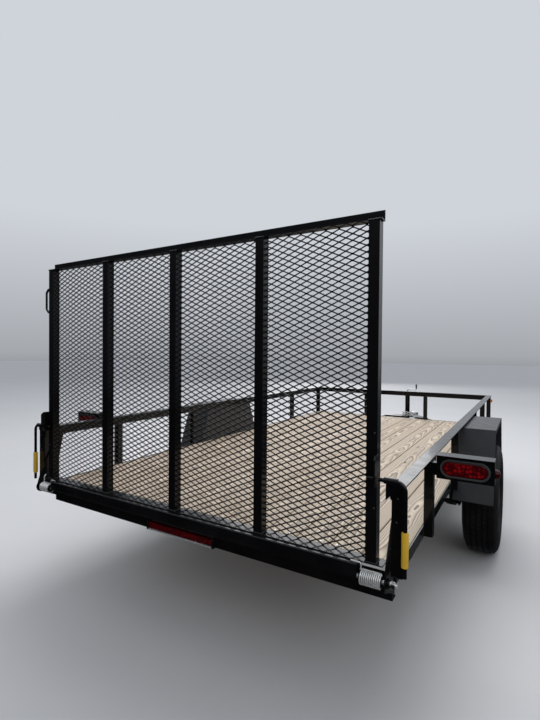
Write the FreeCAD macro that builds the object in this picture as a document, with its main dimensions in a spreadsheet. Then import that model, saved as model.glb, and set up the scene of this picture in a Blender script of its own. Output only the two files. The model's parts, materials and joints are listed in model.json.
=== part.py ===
import FreeCAD, Part
import Sketcher
import math
import os

# Single-axle utility trailer with a mesh ramp gate, in millimetres.
# X points to the right, Y forward to the coupler, Z up from the ground.
# Every size along Y is taken from the rear face of the gate uprights.

os.makedirs("parts", exist_ok=True)
doc = FreeCAD.newDocument("UtilityTrailer")
sheet = doc.addObject("Spreadsheet::Sheet", "Sizes")

# Named sizes: name, value, meaning
SIZES = [
    ("gate_face", -2393.9, "rear face of the gate uprights, from the middle of the trailer"),
    ("seat_gap", 0.3, "gap between a piece and its seat"),
    ("steel", 5.0, "wall of the frame and rail angles"),
    ("deck_over", 196.0, "top of the boards above the axle"),
    ("board_thick", 38.0, "deck board thickness"),
    ("board_wide", 137.0, "nominal width of a deck board, before the boards are shared out"),
    ("board_gap", 2.0, "gap between deck boards"),
    ("board_side", 2.0, "room beside the outer boards"),
    ("board_lead", 5.0, "rear end of the boards ahead of the sill's top plate"),
    ("board_play", 4.0, "gap between the boards and the front member"),
    ("side_outer", 980.0, "outer face of the frame side members, from the middle"),
    ("frame_high", 115.0, "height of the main frame"),
    ("frame_lip", 1.0, "height of the frame edge over the boards"),
    ("frame_front", 3760.0, "front face of the frame"),
    ("frame_flange", 50.0, "width of the frame angles' lower leg"),
    ("cross_flange", 45.0, "width of the cross members' top leg"),
    ("cross_first", 126.0, "first cross member"),
    ("cross_pitch", 595.0, "spacing of the cross members"),
    ("sill_face", 67.0, "rear face of the rear sill"),
    ("sill_edge", 45.0, "rear edge of the sill's top plate"),
    ("sill_plate", 5.0, "thickness of the sill's top plate"),
    ("sill_return", 40.0, "width of the sill's lower leg"),
    ("rail_over", 315.0, "top of the side rails above the boards"),
    ("rail_flange", 50.0, "width and height of the rail angles"),
    ("post_wide", 38.0, "width of the posts"),
    ("post_lap", 41.0, "how far the posts reach down over the frame"),
    ("post_rise", 10.0, "lower end of the rear posts above the boards"),
    ("post_behind", 104.0, "lamp post ahead of the light box's rear face"),
    ("post_rear_gap", 210.0, "post behind the fender's top"),
    ("post_front_gap", 182.0, "post ahead of the fender's top"),
    ("post_bay", 770.0, "post of the front bay behind the frame's front"),
    ("front_post_out", 330.0, "front posts, from the middle"),
    ("gate_inset", 50.0, "outer face of the outer uprights, inward of the frame's side"),
    ("tube_wall", 2.5, "wall of the square tubes of posts and uprights"),
    ("upright_wide", 38.0, "width of the gate uprights"),
    ("upright_long", 1157.0, "length of the gate uprights"),
    ("foot_plate", 4.0, "thickness of the flat under the uprights"),
    ("foot_rear", 5.0, "how far that flat stands behind the uprights"),
    ("foot_short", 3.0, "end of that flat short of the torsion spring's end"),
    ("mesh_thick", 2.0, "thickness of one layer of mesh strands"),
    ("mesh_strand", 4.0, "width of a mesh strand"),
    ("mesh_long", 102.0, "long diagonal of a mesh diamond"),
    ("mesh_short", 46.0, "short diagonal of a mesh diamond"),
    ("mesh_edge", 4.0, "how far the mesh ends short of the gate's outer face"),
    ("top_bar_high", 38.0, "height of the gate's top angle"),
    ("top_bar_over", 6.0, "overhang of the top angle past the uprights"),
    ("top_bar_wall", 4.0, "wall of the gate's top angle"),
    ("hinge_back", 15.0, "hinge axis behind the uprights' rear face"),
    ("hinge_drop", 8.0, "hinge axis below the top of the boards"),
    ("bar_gap", 8.0, "gap between the gate's bottom bar and the torsion spring"),
    ("bar_rear", 25.0, "rear face of the bottom bar behind the uprights' rear face"),
    ("bar_deep", 50.0, "depth of the bottom bar"),
    ("bar_drop", 11.0, "underside of the bottom bar below the hinge axis"),
    ("bar_high", 54.0, "height of the bottom bar"),
    ("bar_round", 12.0, "rounding of the bottom bar's edges"),
    ("bar_wall", 3.5, "wall of the bottom bar"),
    ("pin_radius", 7.0, "radius of the hinge pins"),
    ("pin_deep", 55.0, "length of the hinge pin inside the bottom bar"),
    ("pin_play", 0.06, "radial play between hinge pin and bottom bar"),
    ("collar_radius", 12.0, "radius of the washers on the hinge pin"),
    ("collar_long", 9.0, "thickness of the washers on the hinge pin"),
    ("nut_radius", 15.0, "radius over the corners of the hinge pin's nut"),
    ("nut_thick", 17.0, "thickness of the hinge pin's nut"),
    ("pin_over", 5.0, "how far the hinge pin stands out of its nut"),
    ("ear_radius", 30.0, "radius of the hinge plate's ear"),
    ("ear_plate", 6.0, "thickness of the hinge plates"),
    ("hinge_rise", 72.0, "height of the hinge plate's rear edge over the pin"),
    ("hinge_head", 80.0, "rear edge of the hinge plate's upper end"),
    ("hinge_head_wide", 42.0, "width of the hinge plate's upper end"),
    ("hinge_tail", 76.0, "lower corner of the hinge plate below the hinge axis"),
    ("coil_gap", 12.0, "gap between the torsion spring and the hinge plate"),
    ("coil_long", 78.0, "length of the torsion spring"),
    ("coil_radius", 26.0, "outer radius of the torsion spring"),
    ("coil_bore", 18.5, "inner radius of the torsion spring"),
    ("coil_turns", 12.0, "turns of the torsion spring"),
    ("coil_groove", 1.6, "depth of the grooves between the turns"),
    ("coil_sides", 10.0, "flats round each turn"),
    ("tang_radius", 3.0, "radius of the spring wire's ends"),
    ("tang_gap", 5.0, "gap between the coil and the tang on the frame side"),
    ("tang_long", 62.0, "length of the straight tang on the frame side"),
    ("tang_reach", 30.0, "length of the spring's tang that lies on the bottom bar"),
    ("handle_drop", 230.0, "lower arm of the grab handle below the uprights' top"),
    ("handle_high", 128.0, "height of the grab handle"),
    ("handle_reach", 52.0, "reach of the grab handle past the upright"),
    ("handle_rod", 6.0, "radius of the grab handle's rod"),
    ("handle_bend", 18.0, "length of the bends in the grab handle, each way"),
    ("latch_back", 17.0, "latch rod axis behind the uprights' rear face"),
    ("latch_over", 16.0, "latch rod axis above the top of the side rails"),
    ("latch_rod", 7.0, "radius of the latch rod"),
    ("latch_inset", 38.0, "inner tip of the latch rod, inward of the frame's side"),
    ("latch_outset", 49.0, "hanging leg of the latch rod, outward of the frame's side"),
    ("latch_bend", 20.0, "length of the bend in the latch rod, each way"),
    ("latch_drop", 306.0, "lower end of the hanging leg below the latch rod axis"),
    ("grip_radius", 12.0, "radius of the yellow grip"),
    ("grip_rise", 34.0, "lower end of the grip above the end of the hanging leg"),
    ("grip_long", 115.0, "length of the grip"),
    ("guide_inset", 20.0, "inner end of the latch guide tube, inward of the frame's side"),
    ("guide_long", 44.0, "length of the latch guide tube"),
    ("guide_radius", 11.0, "radius of the latch guide tube"),
    ("gusset_thick", 8.0, "thickness of the latch gusset"),
    ("gusset_drop", 68.0, "how far the gusset hangs below the guide tube's axis"),
    ("lug_thick", 6.0, "thickness of the latch lug on the gate"),
    ("lug_behind", 42.0, "how far the lug stands behind the uprights' rear face"),
    ("lug_drop", 25.0, "lower end of the lug below the latch rod axis"),
    ("lug_high", 104.0, "height of the lug"),
    ("keeper_long", 26.0, "reach of the keeper stub into the upright"),
    ("axle_place", 1780.0, "axle, from the uprights' rear face"),
    ("tyre_radius", 344.0, "tyre radius"),
    ("tyre_wide", 205.0, "tyre width"),
    ("tread_wide", 156.0, "width of the flat tread"),
    ("belly_low", 246.0, "inner radius of the sidewall's flat part"),
    ("belly_high", 302.0, "outer radius of the sidewall's flat part"),
    ("tyre_gap", 34.0, "gap between the frame's side and the tyre"),
    ("rim_radius", 192.0, "bead seat radius of the rim"),
    ("rim_flange", 13.7, "height of the rim flange over the bead seat"),
    ("rim_wide", 152.0, "width between the rim flanges"),
    ("rim_edge", 6.0, "thickness of the rim flange"),
    ("rim_wall", 5.0, "wall of the rim barrel"),
    ("disc_place", 24.0, "outer face of the wheel disc, outward of the wheel's middle plane"),
    ("disc_thick", 8.0, "thickness of the wheel disc"),
    ("hub_radius", 60.0, "radius of the hub flange"),
    ("hub_flange", 12.0, "thickness of the hub flange"),
    ("hub_barrel", 40.0, "radius of the hub barrel"),
    ("hub_inner", 62.0, "inner end of the hub, inward of the wheel's middle plane"),
    ("cap_radius", 29.0, "radius of the grease cap"),
    ("cap_long", 50.0, "how far the grease cap stands out of the disc"),
    ("window_count", 8.0, "openings in the wheel disc"),
    ("window_half", 20.0, "half width of an opening in the wheel disc at its inner edge"),
    ("window_inner", 98.0, "inner edge of the openings, from the wheel's middle"),
    ("window_outer", 158.0, "outer edge of the openings, from the wheel's middle"),
    ("spindle_radius", 20.0, "radius of the wheel spindle"),
    ("spindle_play", 0.06, "radial play of the hub on its spindle"),
    ("spindle_end", 18.0, "end of the spindle short of the disc's outer face"),
    ("beam_radius", 30.0, "radius of the axle tube"),
    ("beam_gap", 6.0, "gap between the axle tube and the hub"),
    ("leaf_inset", 40.0, "middle of the leaf springs, inward of the frame's side"),
    ("leaf_wide", 45.0, "width of the leaf springs"),
    ("leaf_thick", 7.0, "thickness of one leaf"),
    ("leaf_half", 330.0, "half the length between the spring eyes"),
    ("leaf_arch", 74.0, "arch of the leaf springs"),
    ("leaf_second", 235.0, "half length of the second leaf"),
    ("leaf_third", 145.0, "half length of the third leaf"),
    ("pad_thick", 7.0, "spring pad under the axle tube"),
    ("pad_half", 45.0, "half the length of the spring pad"),
    ("eye_radius", 14.0, "radius of the spring eyes"),
    ("eye_bolt", 6.0, "radius of the eye bolts"),
    ("eye_sides", 12.0, "flats round the spring eyes and their bolts"),
    ("hanger_plate", 6.0, "wall of the spring hangers"),
    ("hanger_half", 22.0, "half the length of a spring hanger"),
    ("hanger_play", 2.0, "play between the leaf spring and its hanger"),
    ("bolt_head", 10.0, "radius over the corners of the hanger bolts' heads"),
    ("bolt_head_thick", 6.0, "thickness of the hanger bolts' heads"),
    ("fender_half", 300.0, "half the length of the fender's top"),
    ("fender_drop", 20.0, "top of the fender below the top of the rails"),
    ("fender_wide", 220.0, "width of the fender"),
    ("fender_high", 411.0, "height of the fender's end plates"),
    ("fender_lean", 150.0, "how far the end plates lean out at their lower edge"),
    ("fender_sheet", 3.0, "thickness of the fender sheet"),
    ("fender_lip", 24.0, "height of the lip along the fender's outer edge"),
    ("panel_high", 335.0, "height of the fender's inner panel"),
    ("lamp_rear", 410.0, "rear face of the tail light boxes"),
    ("lamp_deep", 60.0, "depth of the tail light boxes"),
    ("lamp_outset", 68.0, "inner end of the light box, outward of the frame's side"),
    ("lamp_wide", 209.0, "width of the light box"),
    ("lamp_drop", 67.0, "underside of the light box below the top of the rails"),
    ("lamp_high", 92.0, "height of the light box"),
    ("lamp_wall", 3.0, "wall of the light boxes"),
    ("lamp_lip", 12.0, "lip over the light box"),
    ("lamp_lip_thick", 3.0, "thickness of that lip"),
    ("lens_wide", 165.0, "width of the oval lens"),
    ("lens_high", 57.0, "height of the oval lens"),
    ("grommet_wall", 8.0, "wall of the rubber grommet"),
    ("grommet_out", 5.0, "how far the grommet stands out"),
    ("lens_out", 3.0, "how far the lens stands out"),
    ("lamp_recess", 22.0, "depth of the recess for lens and grommet"),
    ("arm_rise", 8.0, "underside of the light bracket above that of the light box"),
    ("arm_high", 50.0, "height of the light bracket"),
    ("marker_radius", 16.0, "radius of the small marker lamps"),
    ("marker_out", 18.0, "how far the marker lamps stand out"),
    ("marker_rise", 40.0, "height of the red side marker over the light box's underside"),
    ("amber_drop", 35.0, "amber side marker below the top of the fender"),
    ("bar_lamp_wide", 405.0, "width of the lamp bar under the gate"),
    ("bar_lamp_high", 38.0, "height of the lamp bar"),
    ("bar_lamp_rise", 10.0, "underside of the lamp bar above that of the frame"),
    ("bar_lamp_deep", 22.0, "depth of the lamp bar"),
    ("tongue_over", 50.0, "top of the tongue rails above the frame's underside"),
    ("tongue_high", 76.0, "height of the tongue rails"),
    ("tongue_wide", 40.0, "width of the tongue rails"),
    ("tongue_web", 6.0, "web of the tongue rails"),
    ("tongue_flange", 7.0, "thickness of the tongue rails' flanges"),
    ("tongue_inset", 340.0, "tongue rails at the frame, inward of its side"),
    ("tongue_run", 880.0, "front end of the tongue rails ahead of the frame"),
    ("nose_half", 24.0, "tongue rail axis at its front end, from the middle"),
    ("ball_ahead", 160.0, "middle of the coupler ball ahead of the tongue rails"),
    ("ball_under", 30.0, "middle of the coupler ball below the tongue's top"),
    ("ball_radius", 25.4, "radius of the coupler ball"),
    ("ball_play", 0.4, "play round the coupler ball"),
    ("socket_wall", 7.0, "wall of the ball socket"),
    ("socket_skirt", 22.0, "lower rim of the ball socket below the ball's middle"),
    ("coupler_half", 46.0, "half width of the coupler channel"),
    ("coupler_wall", 5.0, "wall of the coupler channel"),
    ("coupler_deep", 40.0, "depth of the coupler channel"),
    ("coupler_lap", 80.0, "how far the coupler channel laps over the tongue"),
    ("latch_lever", 92.0, "length of the coupler latch lever"),
    ("jack_back", 270.0, "jack behind the front end of the tongue rails"),
    ("jack_over", 324.0, "top of the jack tube above the tongue's top"),
    ("jack_under", 146.0, "lower end of the jack tube below the tongue's top"),
    ("jack_radius", 28.5, "outer radius of the jack tube"),
    ("leg_radius", 24.0, "radius of the jack leg"),
    ("leg_play", 0.1, "radial play of the jack leg in its tube"),
    ("leg_inside", 190.0, "length of the jack leg inside its tube"),
    ("foot_half", 60.0, "half width of the jack foot plate"),
    ("foot_thick", 8.0, "thickness of the jack foot plate"),
    ("mount_thick", 8.0, "thickness of the jack mounting plate"),
    ("mount_half", 90.0, "half length of the jack mounting plate"),
    ("crank_radius", 6.0, "radius of the jack crank rod"),
    ("crank_reach", 110.0, "reach of the jack crank"),
    ("crank_rise", 30.0, "height of the crank over the jack's top"),
    ("crank_knob", 75.0, "length of the crank grip"),
    ("chain_wire", 7.0, "thickness of the chain links"),
    ("link_long", 34.0, "inner length of a chain link"),
    ("link_wide", 16.0, "inner width of a chain link"),
    ("link_slack", 4.0, "slack between two chain links"),
    ("link_corner", 9.0, "bevel of a chain link's corners"),
    ("chain_pairs", 6.0, "pairs of links in a chain loop"),
    ("chain_loops", 2.0, "chain loops stacked round the jack"),
]


class Size:
    """A length: its number, and the expression that ties it to the named sizes."""

    def __init__(self, value, text):
        self.value = value
        self.text = text

    def __add__(self, other):
        other = as_size(other)
        return Size(self.value + other.value, "(%s + %s)" % (self.text, other.text))

    def __sub__(self, other):
        other = as_size(other)
        return Size(self.value - other.value, "(%s - %s)" % (self.text, other.text))

    def __mul__(self, other):
        other = as_size(other)
        return Size(self.value * other.value, "(%s * %s)" % (self.text, other.text))

    def __truediv__(self, other):
        other = as_size(other)
        return Size(self.value / other.value, "(%s / %s)" % (self.text, other.text))

    def __radd__(self, other):
        return as_size(other) + self

    def __rsub__(self, other):
        return as_size(other) - self

    def __rmul__(self, other):
        return as_size(other) * self

    def __neg__(self):
        return Size(-self.value, "(0 - %s)" % self.text)


def as_size(thing):
    if isinstance(thing, Size):
        return thing
    return Size(float(thing), "%.6f" % float(thing))


class Named:
    """The named sizes as attributes."""


n = Named()
for row, (alias, value, meaning) in enumerate(SIZES, start=1):
    sheet.set("A%d" % row, alias)
    sheet.set("B%d" % row, "%.4f" % value)
    sheet.set("C%d" % row, meaning)
    sheet.setAlias("B%d" % row, alias)
    setattr(n, alias, Size(value, "Sizes." + alias))
doc.recompute()


def along(size):
    """Place along Y of a size that is taken from the uprights' rear face."""
    return n.gate_face + size


def bind(thing, prop, size):
    thing.setExpression(prop, as_size(size).text)


def place(thing, x, y, z):
    for letter, size in (("x", x), ("y", y), ("z", z)):
        bind(thing, "Placement.Base." + letter, size)


def block(name, x, y, z):
    """Square-edged block between two planes each way."""
    solid = doc.addObject("Part::Box", name)
    for prop, span in (("Length", x), ("Width", y), ("Height", z)):
        bind(solid, prop, as_size(span[1]) - span[0])
    place(solid, x[0], y[0], z[0])
    return solid


TURN = {
    "x": FreeCAD.Rotation(FreeCAD.Vector(0, 1, 0), 90),
    "y": FreeCAD.Rotation(FreeCAD.Vector(1, 0, 0), -90),
    "z": FreeCAD.Rotation(),
}


def rod(name, axis, radius, length, x, y, z):
    """Round bar that starts at x, y, z and runs along one axis."""
    solid = doc.addObject("Part::Cylinder", name)
    solid.Placement = FreeCAD.Placement(FreeCAD.Vector(), TURN[axis])
    bind(solid, "Radius", radius)
    bind(solid, "Height", length)
    place(solid, x, y, z)
    return solid


def flats_rod(name, sides, radius, length, x, y, z):
    """Bar with flat sides, such as a nut, that runs along X."""
    solid = doc.addObject("Part::Prism", name)
    solid.Placement = FreeCAD.Placement(FreeCAD.Vector(), TURN["x"])
    solid.Polygon = int(as_size(sides).value)
    bind(solid, "Circumradius", radius)
    bind(solid, "Height", length)
    place(solid, x, y, z)
    return solid


def join(name, pieces):
    fused = doc.addObject("Part::MultiFuse", name)
    fused.Shapes = pieces
    fused.Refine = True
    return fused


def cut(name, base, tool):
    result = doc.addObject("Part::Cut", name)
    result.Base = base
    result.Tool = tool
    return result


def tube(name, x, y, z, wall):
    """Upright square tube, open at both ends."""
    inside_x = (as_size(x[0]) + wall, as_size(x[1]) - wall)
    inside_y = (as_size(y[0]) + wall, as_size(y[1]) - wall)
    return cut(name, block(name + "_outside", x, y, z), block(name + "_inside", inside_x, inside_y, z))


def group(name, pieces):
    several = doc.addObject("Part::Compound", name)
    several.Links = pieces
    return several


def mirror(name, source):
    """The same piece on the left side."""
    other = doc.addObject("Part::Mirroring", name)
    other.Source = source
    other.Base = FreeCAD.Vector(0, 0, 0)
    other.Normal = FreeCAD.Vector(1, 0, 0)
    return other


def both(name, source):
    """A right-hand piece and its mirror image in one node."""
    return group(name, [source, mirror(name + "_other", source)])


def outline(sketch, points, holes):
    """Closed outline through points, and round holes, each tied to its sizes."""
    first = sketch.GeometryCount
    spots = [(as_size(a), as_size(b)) for a, b in points]
    count = len(spots)
    for i, (a, b) in enumerate(spots):
        c, d = spots[(i + 1) % count]
        start = FreeCAD.Vector(a.value, b.value, 0)
        end = FreeCAD.Vector(c.value, d.value, 0)
        sketch.addGeometry(Part.LineSegment(start, end), False)
    for i in range(count):
        following = first + (i + 1) % count
        sketch.addConstraint(Sketcher.Constraint("Coincident", first + i, 2, following, 1))
    for i, (a, b) in enumerate(spots):
        pin(sketch, first + i, 1, a, b)
    for a, b, radius in holes:
        a, b, radius = as_size(a), as_size(b), as_size(radius)
        centre = FreeCAD.Vector(a.value, b.value, 0)
        ring = sketch.addGeometry(Part.Circle(centre, FreeCAD.Vector(0, 0, 1), radius.value), False)
        pin(sketch, ring, 3, a, b)
        mark = sketch.addConstraint(Sketcher.Constraint("Radius", ring, radius.value))
        bind(sketch, "Constraints[%d]" % mark, radius)


def pin(sketch, item, end, a, b):
    """Hold one point of a sketch at a place."""
    for kind, size in (("DistanceX", a), ("DistanceY", b)):
        mark = sketch.addConstraint(Sketcher.Constraint(kind, item, end, size.value))
        bind(sketch, "Constraints[%d]" % mark, size)


PLANES = {"xy": ("XY_Plane", 1), "yz": ("YZ_Plane", 1), "xz": ("XZ_Plane", -1)}


def new_sketch(body, plane, offset):
    role = PLANES[plane][0]
    support = [part for part in body.Origin.OriginFeatures if part.Role == role][0]
    sketch = body.newObject("Sketcher::SketchObject", body.Name + "_outline")
    sketch.AttachmentSupport = [(support, "")]
    sketch.MapMode = "FlatFace"
    bind(sketch, "AttachmentOffset.Base.z", offset)
    return sketch


def plate(name, plane, points, low, high, holes=()):
    """Body padded from an outline, between two planes along the third axis."""
    body = doc.addObject("PartDesign::Body", name)
    low, high = as_size(low), as_size(high)
    offset = low if PLANES[plane][1] > 0 else -high
    sketch = new_sketch(body, plane, offset)
    outline(sketch, points, holes)
    pad = body.newObject("PartDesign::Pad", name + "_pad")
    pad.Profile = sketch
    bind(pad, "Length", high - low)
    body.Tip = pad
    return body


def turned(name, points, axis="H_Axis"):
    """Body revolved about X (H_Axis) or Z (V_Axis): points are places along X and Z."""
    body = doc.addObject("PartDesign::Body", name)
    sketch = new_sketch(body, "xz", 0)
    outline(sketch, points, ())
    shape = body.newObject("PartDesign::Revolution", name + "_turn")
    shape.Profile = sketch
    shape.ReferenceAxis = (sketch, [axis])
    shape.Angle = 360
    body.Tip = shape
    return body


SKETCH_TURN = {
    "xz": (FreeCAD.Rotation(FreeCAD.Vector(1, 0, 0), 90), "y"),
    "yz": (FreeCAD.Rotation(FreeCAD.Vector(1, 1, 1), 120), "x"),
    "xy": (FreeCAD.Rotation(), "z"),
}


def free_sketch(name, plane, offset):
    sketch = doc.addObject("Sketcher::SketchObject", name)
    rotation, letter = SKETCH_TURN[plane]
    sketch.Placement = FreeCAD.Placement(FreeCAD.Vector(), rotation)
    bind(sketch, "Placement.Base." + letter, offset)
    return sketch


def bent_rod(name, radius, y, points):
    """Round bar along straight runs with mitred corners, in one XZ plane."""
    path = free_sketch(name + "_path", "xz", y)
    spots = [(as_size(a), as_size(b)) for a, b in points]
    for (a, b), (c, d) in zip(spots, spots[1:]):
        start, end = FreeCAD.Vector(a.value, b.value, 0), FreeCAD.Vector(c.value, d.value, 0)
        path.addGeometry(Part.LineSegment(start, end), False)
    for i in range(len(spots) - 2):
        path.addConstraint(Sketcher.Constraint("Coincident", i, 2, i + 1, 1))
    for i, (a, b) in enumerate(spots[:-1]):
        pin(path, i, 1, a, b)
    pin(path, len(spots) - 2, 2, *spots[-1])
    (first_x, first_z), (_, second_z) = spots[:2]
    if first_z.value == second_z.value:
        section = free_sketch(name + "_section", "yz", first_x)
        outline(section, (), [(y, first_z, radius)])
    else:
        section = free_sketch(name + "_section", "xy", first_z)
        outline(section, (), [(first_x, y, radius)])
    bar = doc.addObject("Part::Sweep", name)
    bar.Sections = [section]
    bar.Spine = (path, ["Edge%d" % (i + 1) for i in range(len(spots) - 1)])
    bar.Solid = True
    bar.Transition = "Right corner"
    return bar


NODES = []


def node(thing, label):
    """Mark a finished object as one of the trailer's named pieces."""
    thing.Label = label
    NODES.append(thing)
    return thing


# Heights above the ground, from the axle up to the rails and the gate
deck_top = n.tyre_radius + n.deck_over
frame_top = deck_top + n.frame_lip
frame_bottom = frame_top - n.frame_high
board_under = deck_top - n.board_thick
side_bottom = board_under - n.steel * 2
rail_top = deck_top + n.rail_over
post_bottom = frame_top - n.post_lap
hinge_height = deck_top - n.hinge_drop
hinge_low = hinge_height - n.hinge_tail
bar_bottom = hinge_height - n.bar_drop
bar_top = bar_bottom + n.bar_high
foot_top = bar_top + n.foot_plate
upright_top = foot_top + n.upright_long
fender_top = rail_top - n.fender_drop
fender_bottom = fender_top - n.fender_high
fender_inner = fender_top - n.panel_high
lamp_low = rail_top - n.lamp_drop
arm_low = lamp_low + n.arm_rise
marker_height = lamp_low + n.marker_rise
amber_height = fender_top - n.amber_drop
bar_lamp_low = frame_bottom + n.bar_lamp_rise
tongue_top = frame_bottom + n.tongue_over
ball_height = tongue_top - n.ball_under
socket_low = ball_height - n.socket_skirt
coupler_low = tongue_top - n.coupler_deep
jack_top = tongue_top + n.jack_over
jack_low = tongue_top - n.jack_under
leg_top = jack_low + n.leg_inside

# Places across the trailer, from the frame's side
side_inner = n.side_outer - n.steel
leg_inner = n.side_outer - n.frame_flange
gate_out = n.side_outer - n.gate_inset
keeper_tip = gate_out - n.keeper_long
guide_start = n.side_outer - n.guide_inset
latch_tip = n.side_outer - n.latch_inset
latch_leg = n.side_outer + n.latch_outset
lamp_inner = n.side_outer + n.lamp_outset
fender_out = n.side_outer + n.fender_wide
tyre_out = n.side_outer + n.tyre_gap + n.tyre_wide
leaf_place = n.side_outer - n.leaf_inset
tongue_spread = n.side_outer - n.tongue_inset

# Places along the trailer, from the uprights' rear face
frame_start = n.sill_face + n.steel
board_start = n.cross_first + n.board_lead
front_inner = n.frame_front - n.steel
fender_rear = n.axle_place - n.fender_half
fender_front = n.axle_place + n.fender_half
tongue_nose = n.frame_front + n.tongue_run
ball_place = tongue_nose + n.ball_ahead
coupler_rear = tongue_nose - n.coupler_lap
jack_place = tongue_nose - n.jack_back

# Main frame: two side members and the front member, each an angle
lower = frame_bottom
side_right = plate(
    "side_member", "xz",
    [(side_inner, frame_top), (n.side_outer, frame_top), (n.side_outer, side_bottom),
     (leg_inner, side_bottom), (leg_inner, side_bottom + n.steel), (side_inner, side_bottom + n.steel)],
    along(frame_start), along(n.frame_front))
front_member = plate(
    "front_member", "yz",
    [(along(front_inner), frame_top), (along(n.frame_front), frame_top),
     (along(n.frame_front), lower), (along(n.frame_front - n.frame_flange), lower),
     (along(n.frame_front - n.frame_flange), lower + n.steel), (along(front_inner), lower + n.steel)],
    -side_inner, side_inner)
node(join("frame", [side_right, mirror("side_member_other", side_right), front_member]), "main_frame")

# Cross members: angles whose top legs lie on the side members' lower legs and carry the boards
cross_pieces = []
board_end = front_inner - n.board_play
cross_last = board_end - n.frame_flange - n.cross_flange
cross_count = int((cross_last.value - n.cross_first.value) // n.cross_pitch.value) + 1
for k in range(cross_count):
    start = n.cross_first + n.cross_pitch * k
    cross_pieces.append(join("cross_%d" % k, [
        block("cross_top_%d" % k, (-side_inner, side_inner),
              (along(start), along(start + n.cross_flange)), (board_under - n.steel, board_under)),
        block("cross_web_%d" % k, (-leg_inner, leg_inner),
              (along(start), along(start + n.steel)), (lower + n.steel, board_under)),
    ]))
node(group("crosses", cross_pieces), "cross_members")

# Rear sill: channel across the back with the steel strip in front of the gate
plate_inner = side_inner - n.ear_plate
sill_top = frame_top
rear_sill = plate(
    "sill", "yz",
    [(along(n.sill_edge), sill_top), (along(n.cross_first), sill_top),
     (along(n.cross_first), sill_top - n.sill_plate),
     (along(n.sill_face + n.steel), sill_top - n.sill_plate),
     (along(n.sill_face + n.steel), lower + n.steel * 2),
     (along(n.sill_face + n.sill_return), lower + n.steel * 2),
     (along(n.sill_face + n.sill_return), lower + n.steel), (along(n.sill_face), lower + n.steel),
     (along(n.sill_face), sill_top - n.sill_plate), (along(n.sill_edge), sill_top - n.sill_plate)],
    -plate_inner, plate_inner)
node(rear_sill, "rear_sill")

# Deck boards, laid lengthwise with a seam on the middle line
board_room = side_inner - n.board_side
board_count = round(board_room.value / (n.board_wide + n.board_gap).value)
board_pitch = board_room / board_count
boards = []
for k in range(-board_count, board_count):
    left = board_pitch * k + n.board_gap / 2
    boards.append(block(
        "board_%d" % (k + board_count), (left, left + board_pitch - n.board_gap),
        (along(board_start), along(board_end)), (board_under, deck_top)))
node(group("deck", boards), "deck_boards")

# Posts along the sides, under the rail's flange: label, place and lower end
rail_under = rail_top - n.steel
lamp_post = n.lamp_rear + n.post_behind
POSTS = [
    ("rear", as_size(0), deck_top + n.post_rise),
    ("lamp", lamp_post, post_bottom),
    ("behind_fender", fender_rear - n.post_rear_gap, post_bottom),
    ("ahead_fender", fender_front + n.post_front_gap, post_bottom),
    ("front_bay", n.frame_front - n.post_bay, post_bottom),
    ("front_corner", n.frame_front - n.post_wide, post_bottom),
]
posts = []
for label, start, bottom in POSTS:
    posts.append(tube(
        "post_" + label, (n.side_outer, n.side_outer + n.post_wide),
        (along(start), along(n.post_wide + start)), (bottom, rail_under), n.tube_wall))
posts.append(tube(
    "post_front", (n.front_post_out, n.front_post_out + n.post_wide),
    (along(n.frame_front - n.post_wide), along(n.frame_front)), (frame_top, rail_under), n.tube_wall))
node(both("posts", group("posts_right", posts)), "rail_posts")

# Rails: angles with the flange outward on top and the leg on the deck side
flange_out = side_inner + n.rail_flange
rail_side = plate(
    "rail_section", "xz",
    [(side_inner, rail_top), (flange_out, rail_top), (flange_out, rail_under),
     (n.side_outer, rail_under), (n.side_outer, rail_top - n.rail_flange),
     (side_inner, rail_top - n.rail_flange)],
    along(0), along(n.frame_front))
node(rail_side, "rail_right")
node(mirror("rail_section_left", rail_side), "rail_left")
leg_rear = n.frame_front - n.post_wide - n.steel
rail_ahead = plate(
    "rail_ahead", "yz",
    [(along(leg_rear), rail_top), (along(leg_rear + n.rail_flange), rail_top),
     (along(leg_rear + n.rail_flange), rail_under), (along(leg_rear + n.steel), rail_under),
     (along(leg_rear + n.steel), rail_top - n.rail_flange),
     (along(leg_rear), rail_top - n.rail_flange)],
    -side_inner, side_inner)
node(rail_ahead, "rail_front")

# Hinge plates: a leaning plate inside each rear corner with a round ear for the pin
pin_y = along(-n.hinge_back)
pin_z = hinge_height
ear = n.ear_radius
ear_low = plate_inner
bend_z = pin_z + n.hinge_rise
head_low = rail_top - n.rail_flange
head_top = rail_top - n.steel * 2
plate_right = plate(
    "hinge_plate", "yz",
    [(pin_y - ear, pin_z), (pin_y - ear / 4, bend_z), (along(n.hinge_head), head_low),
     (along(n.hinge_head), head_top), (along(n.hinge_head + n.hinge_head_wide), head_top),
     (along(frame_start), bend_z), (along(frame_start), hinge_low), (pin_y, pin_z - ear)],
    ear_low, ear_low + n.ear_plate)
ear_disc = rod("hinge_ear", "x", ear, n.ear_plate, ear_low, pin_y, pin_z)
ear_bore = rod("ear_bore", "x", n.pin_radius, n.ear_plate, ear_low, pin_y, pin_z)
hinge_side = cut("hinge_side", join("hinge_side_blank", [plate_right, ear_disc]), ear_bore)
node(both("hinge_sides", hinge_side), "hinge_plates")

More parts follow.
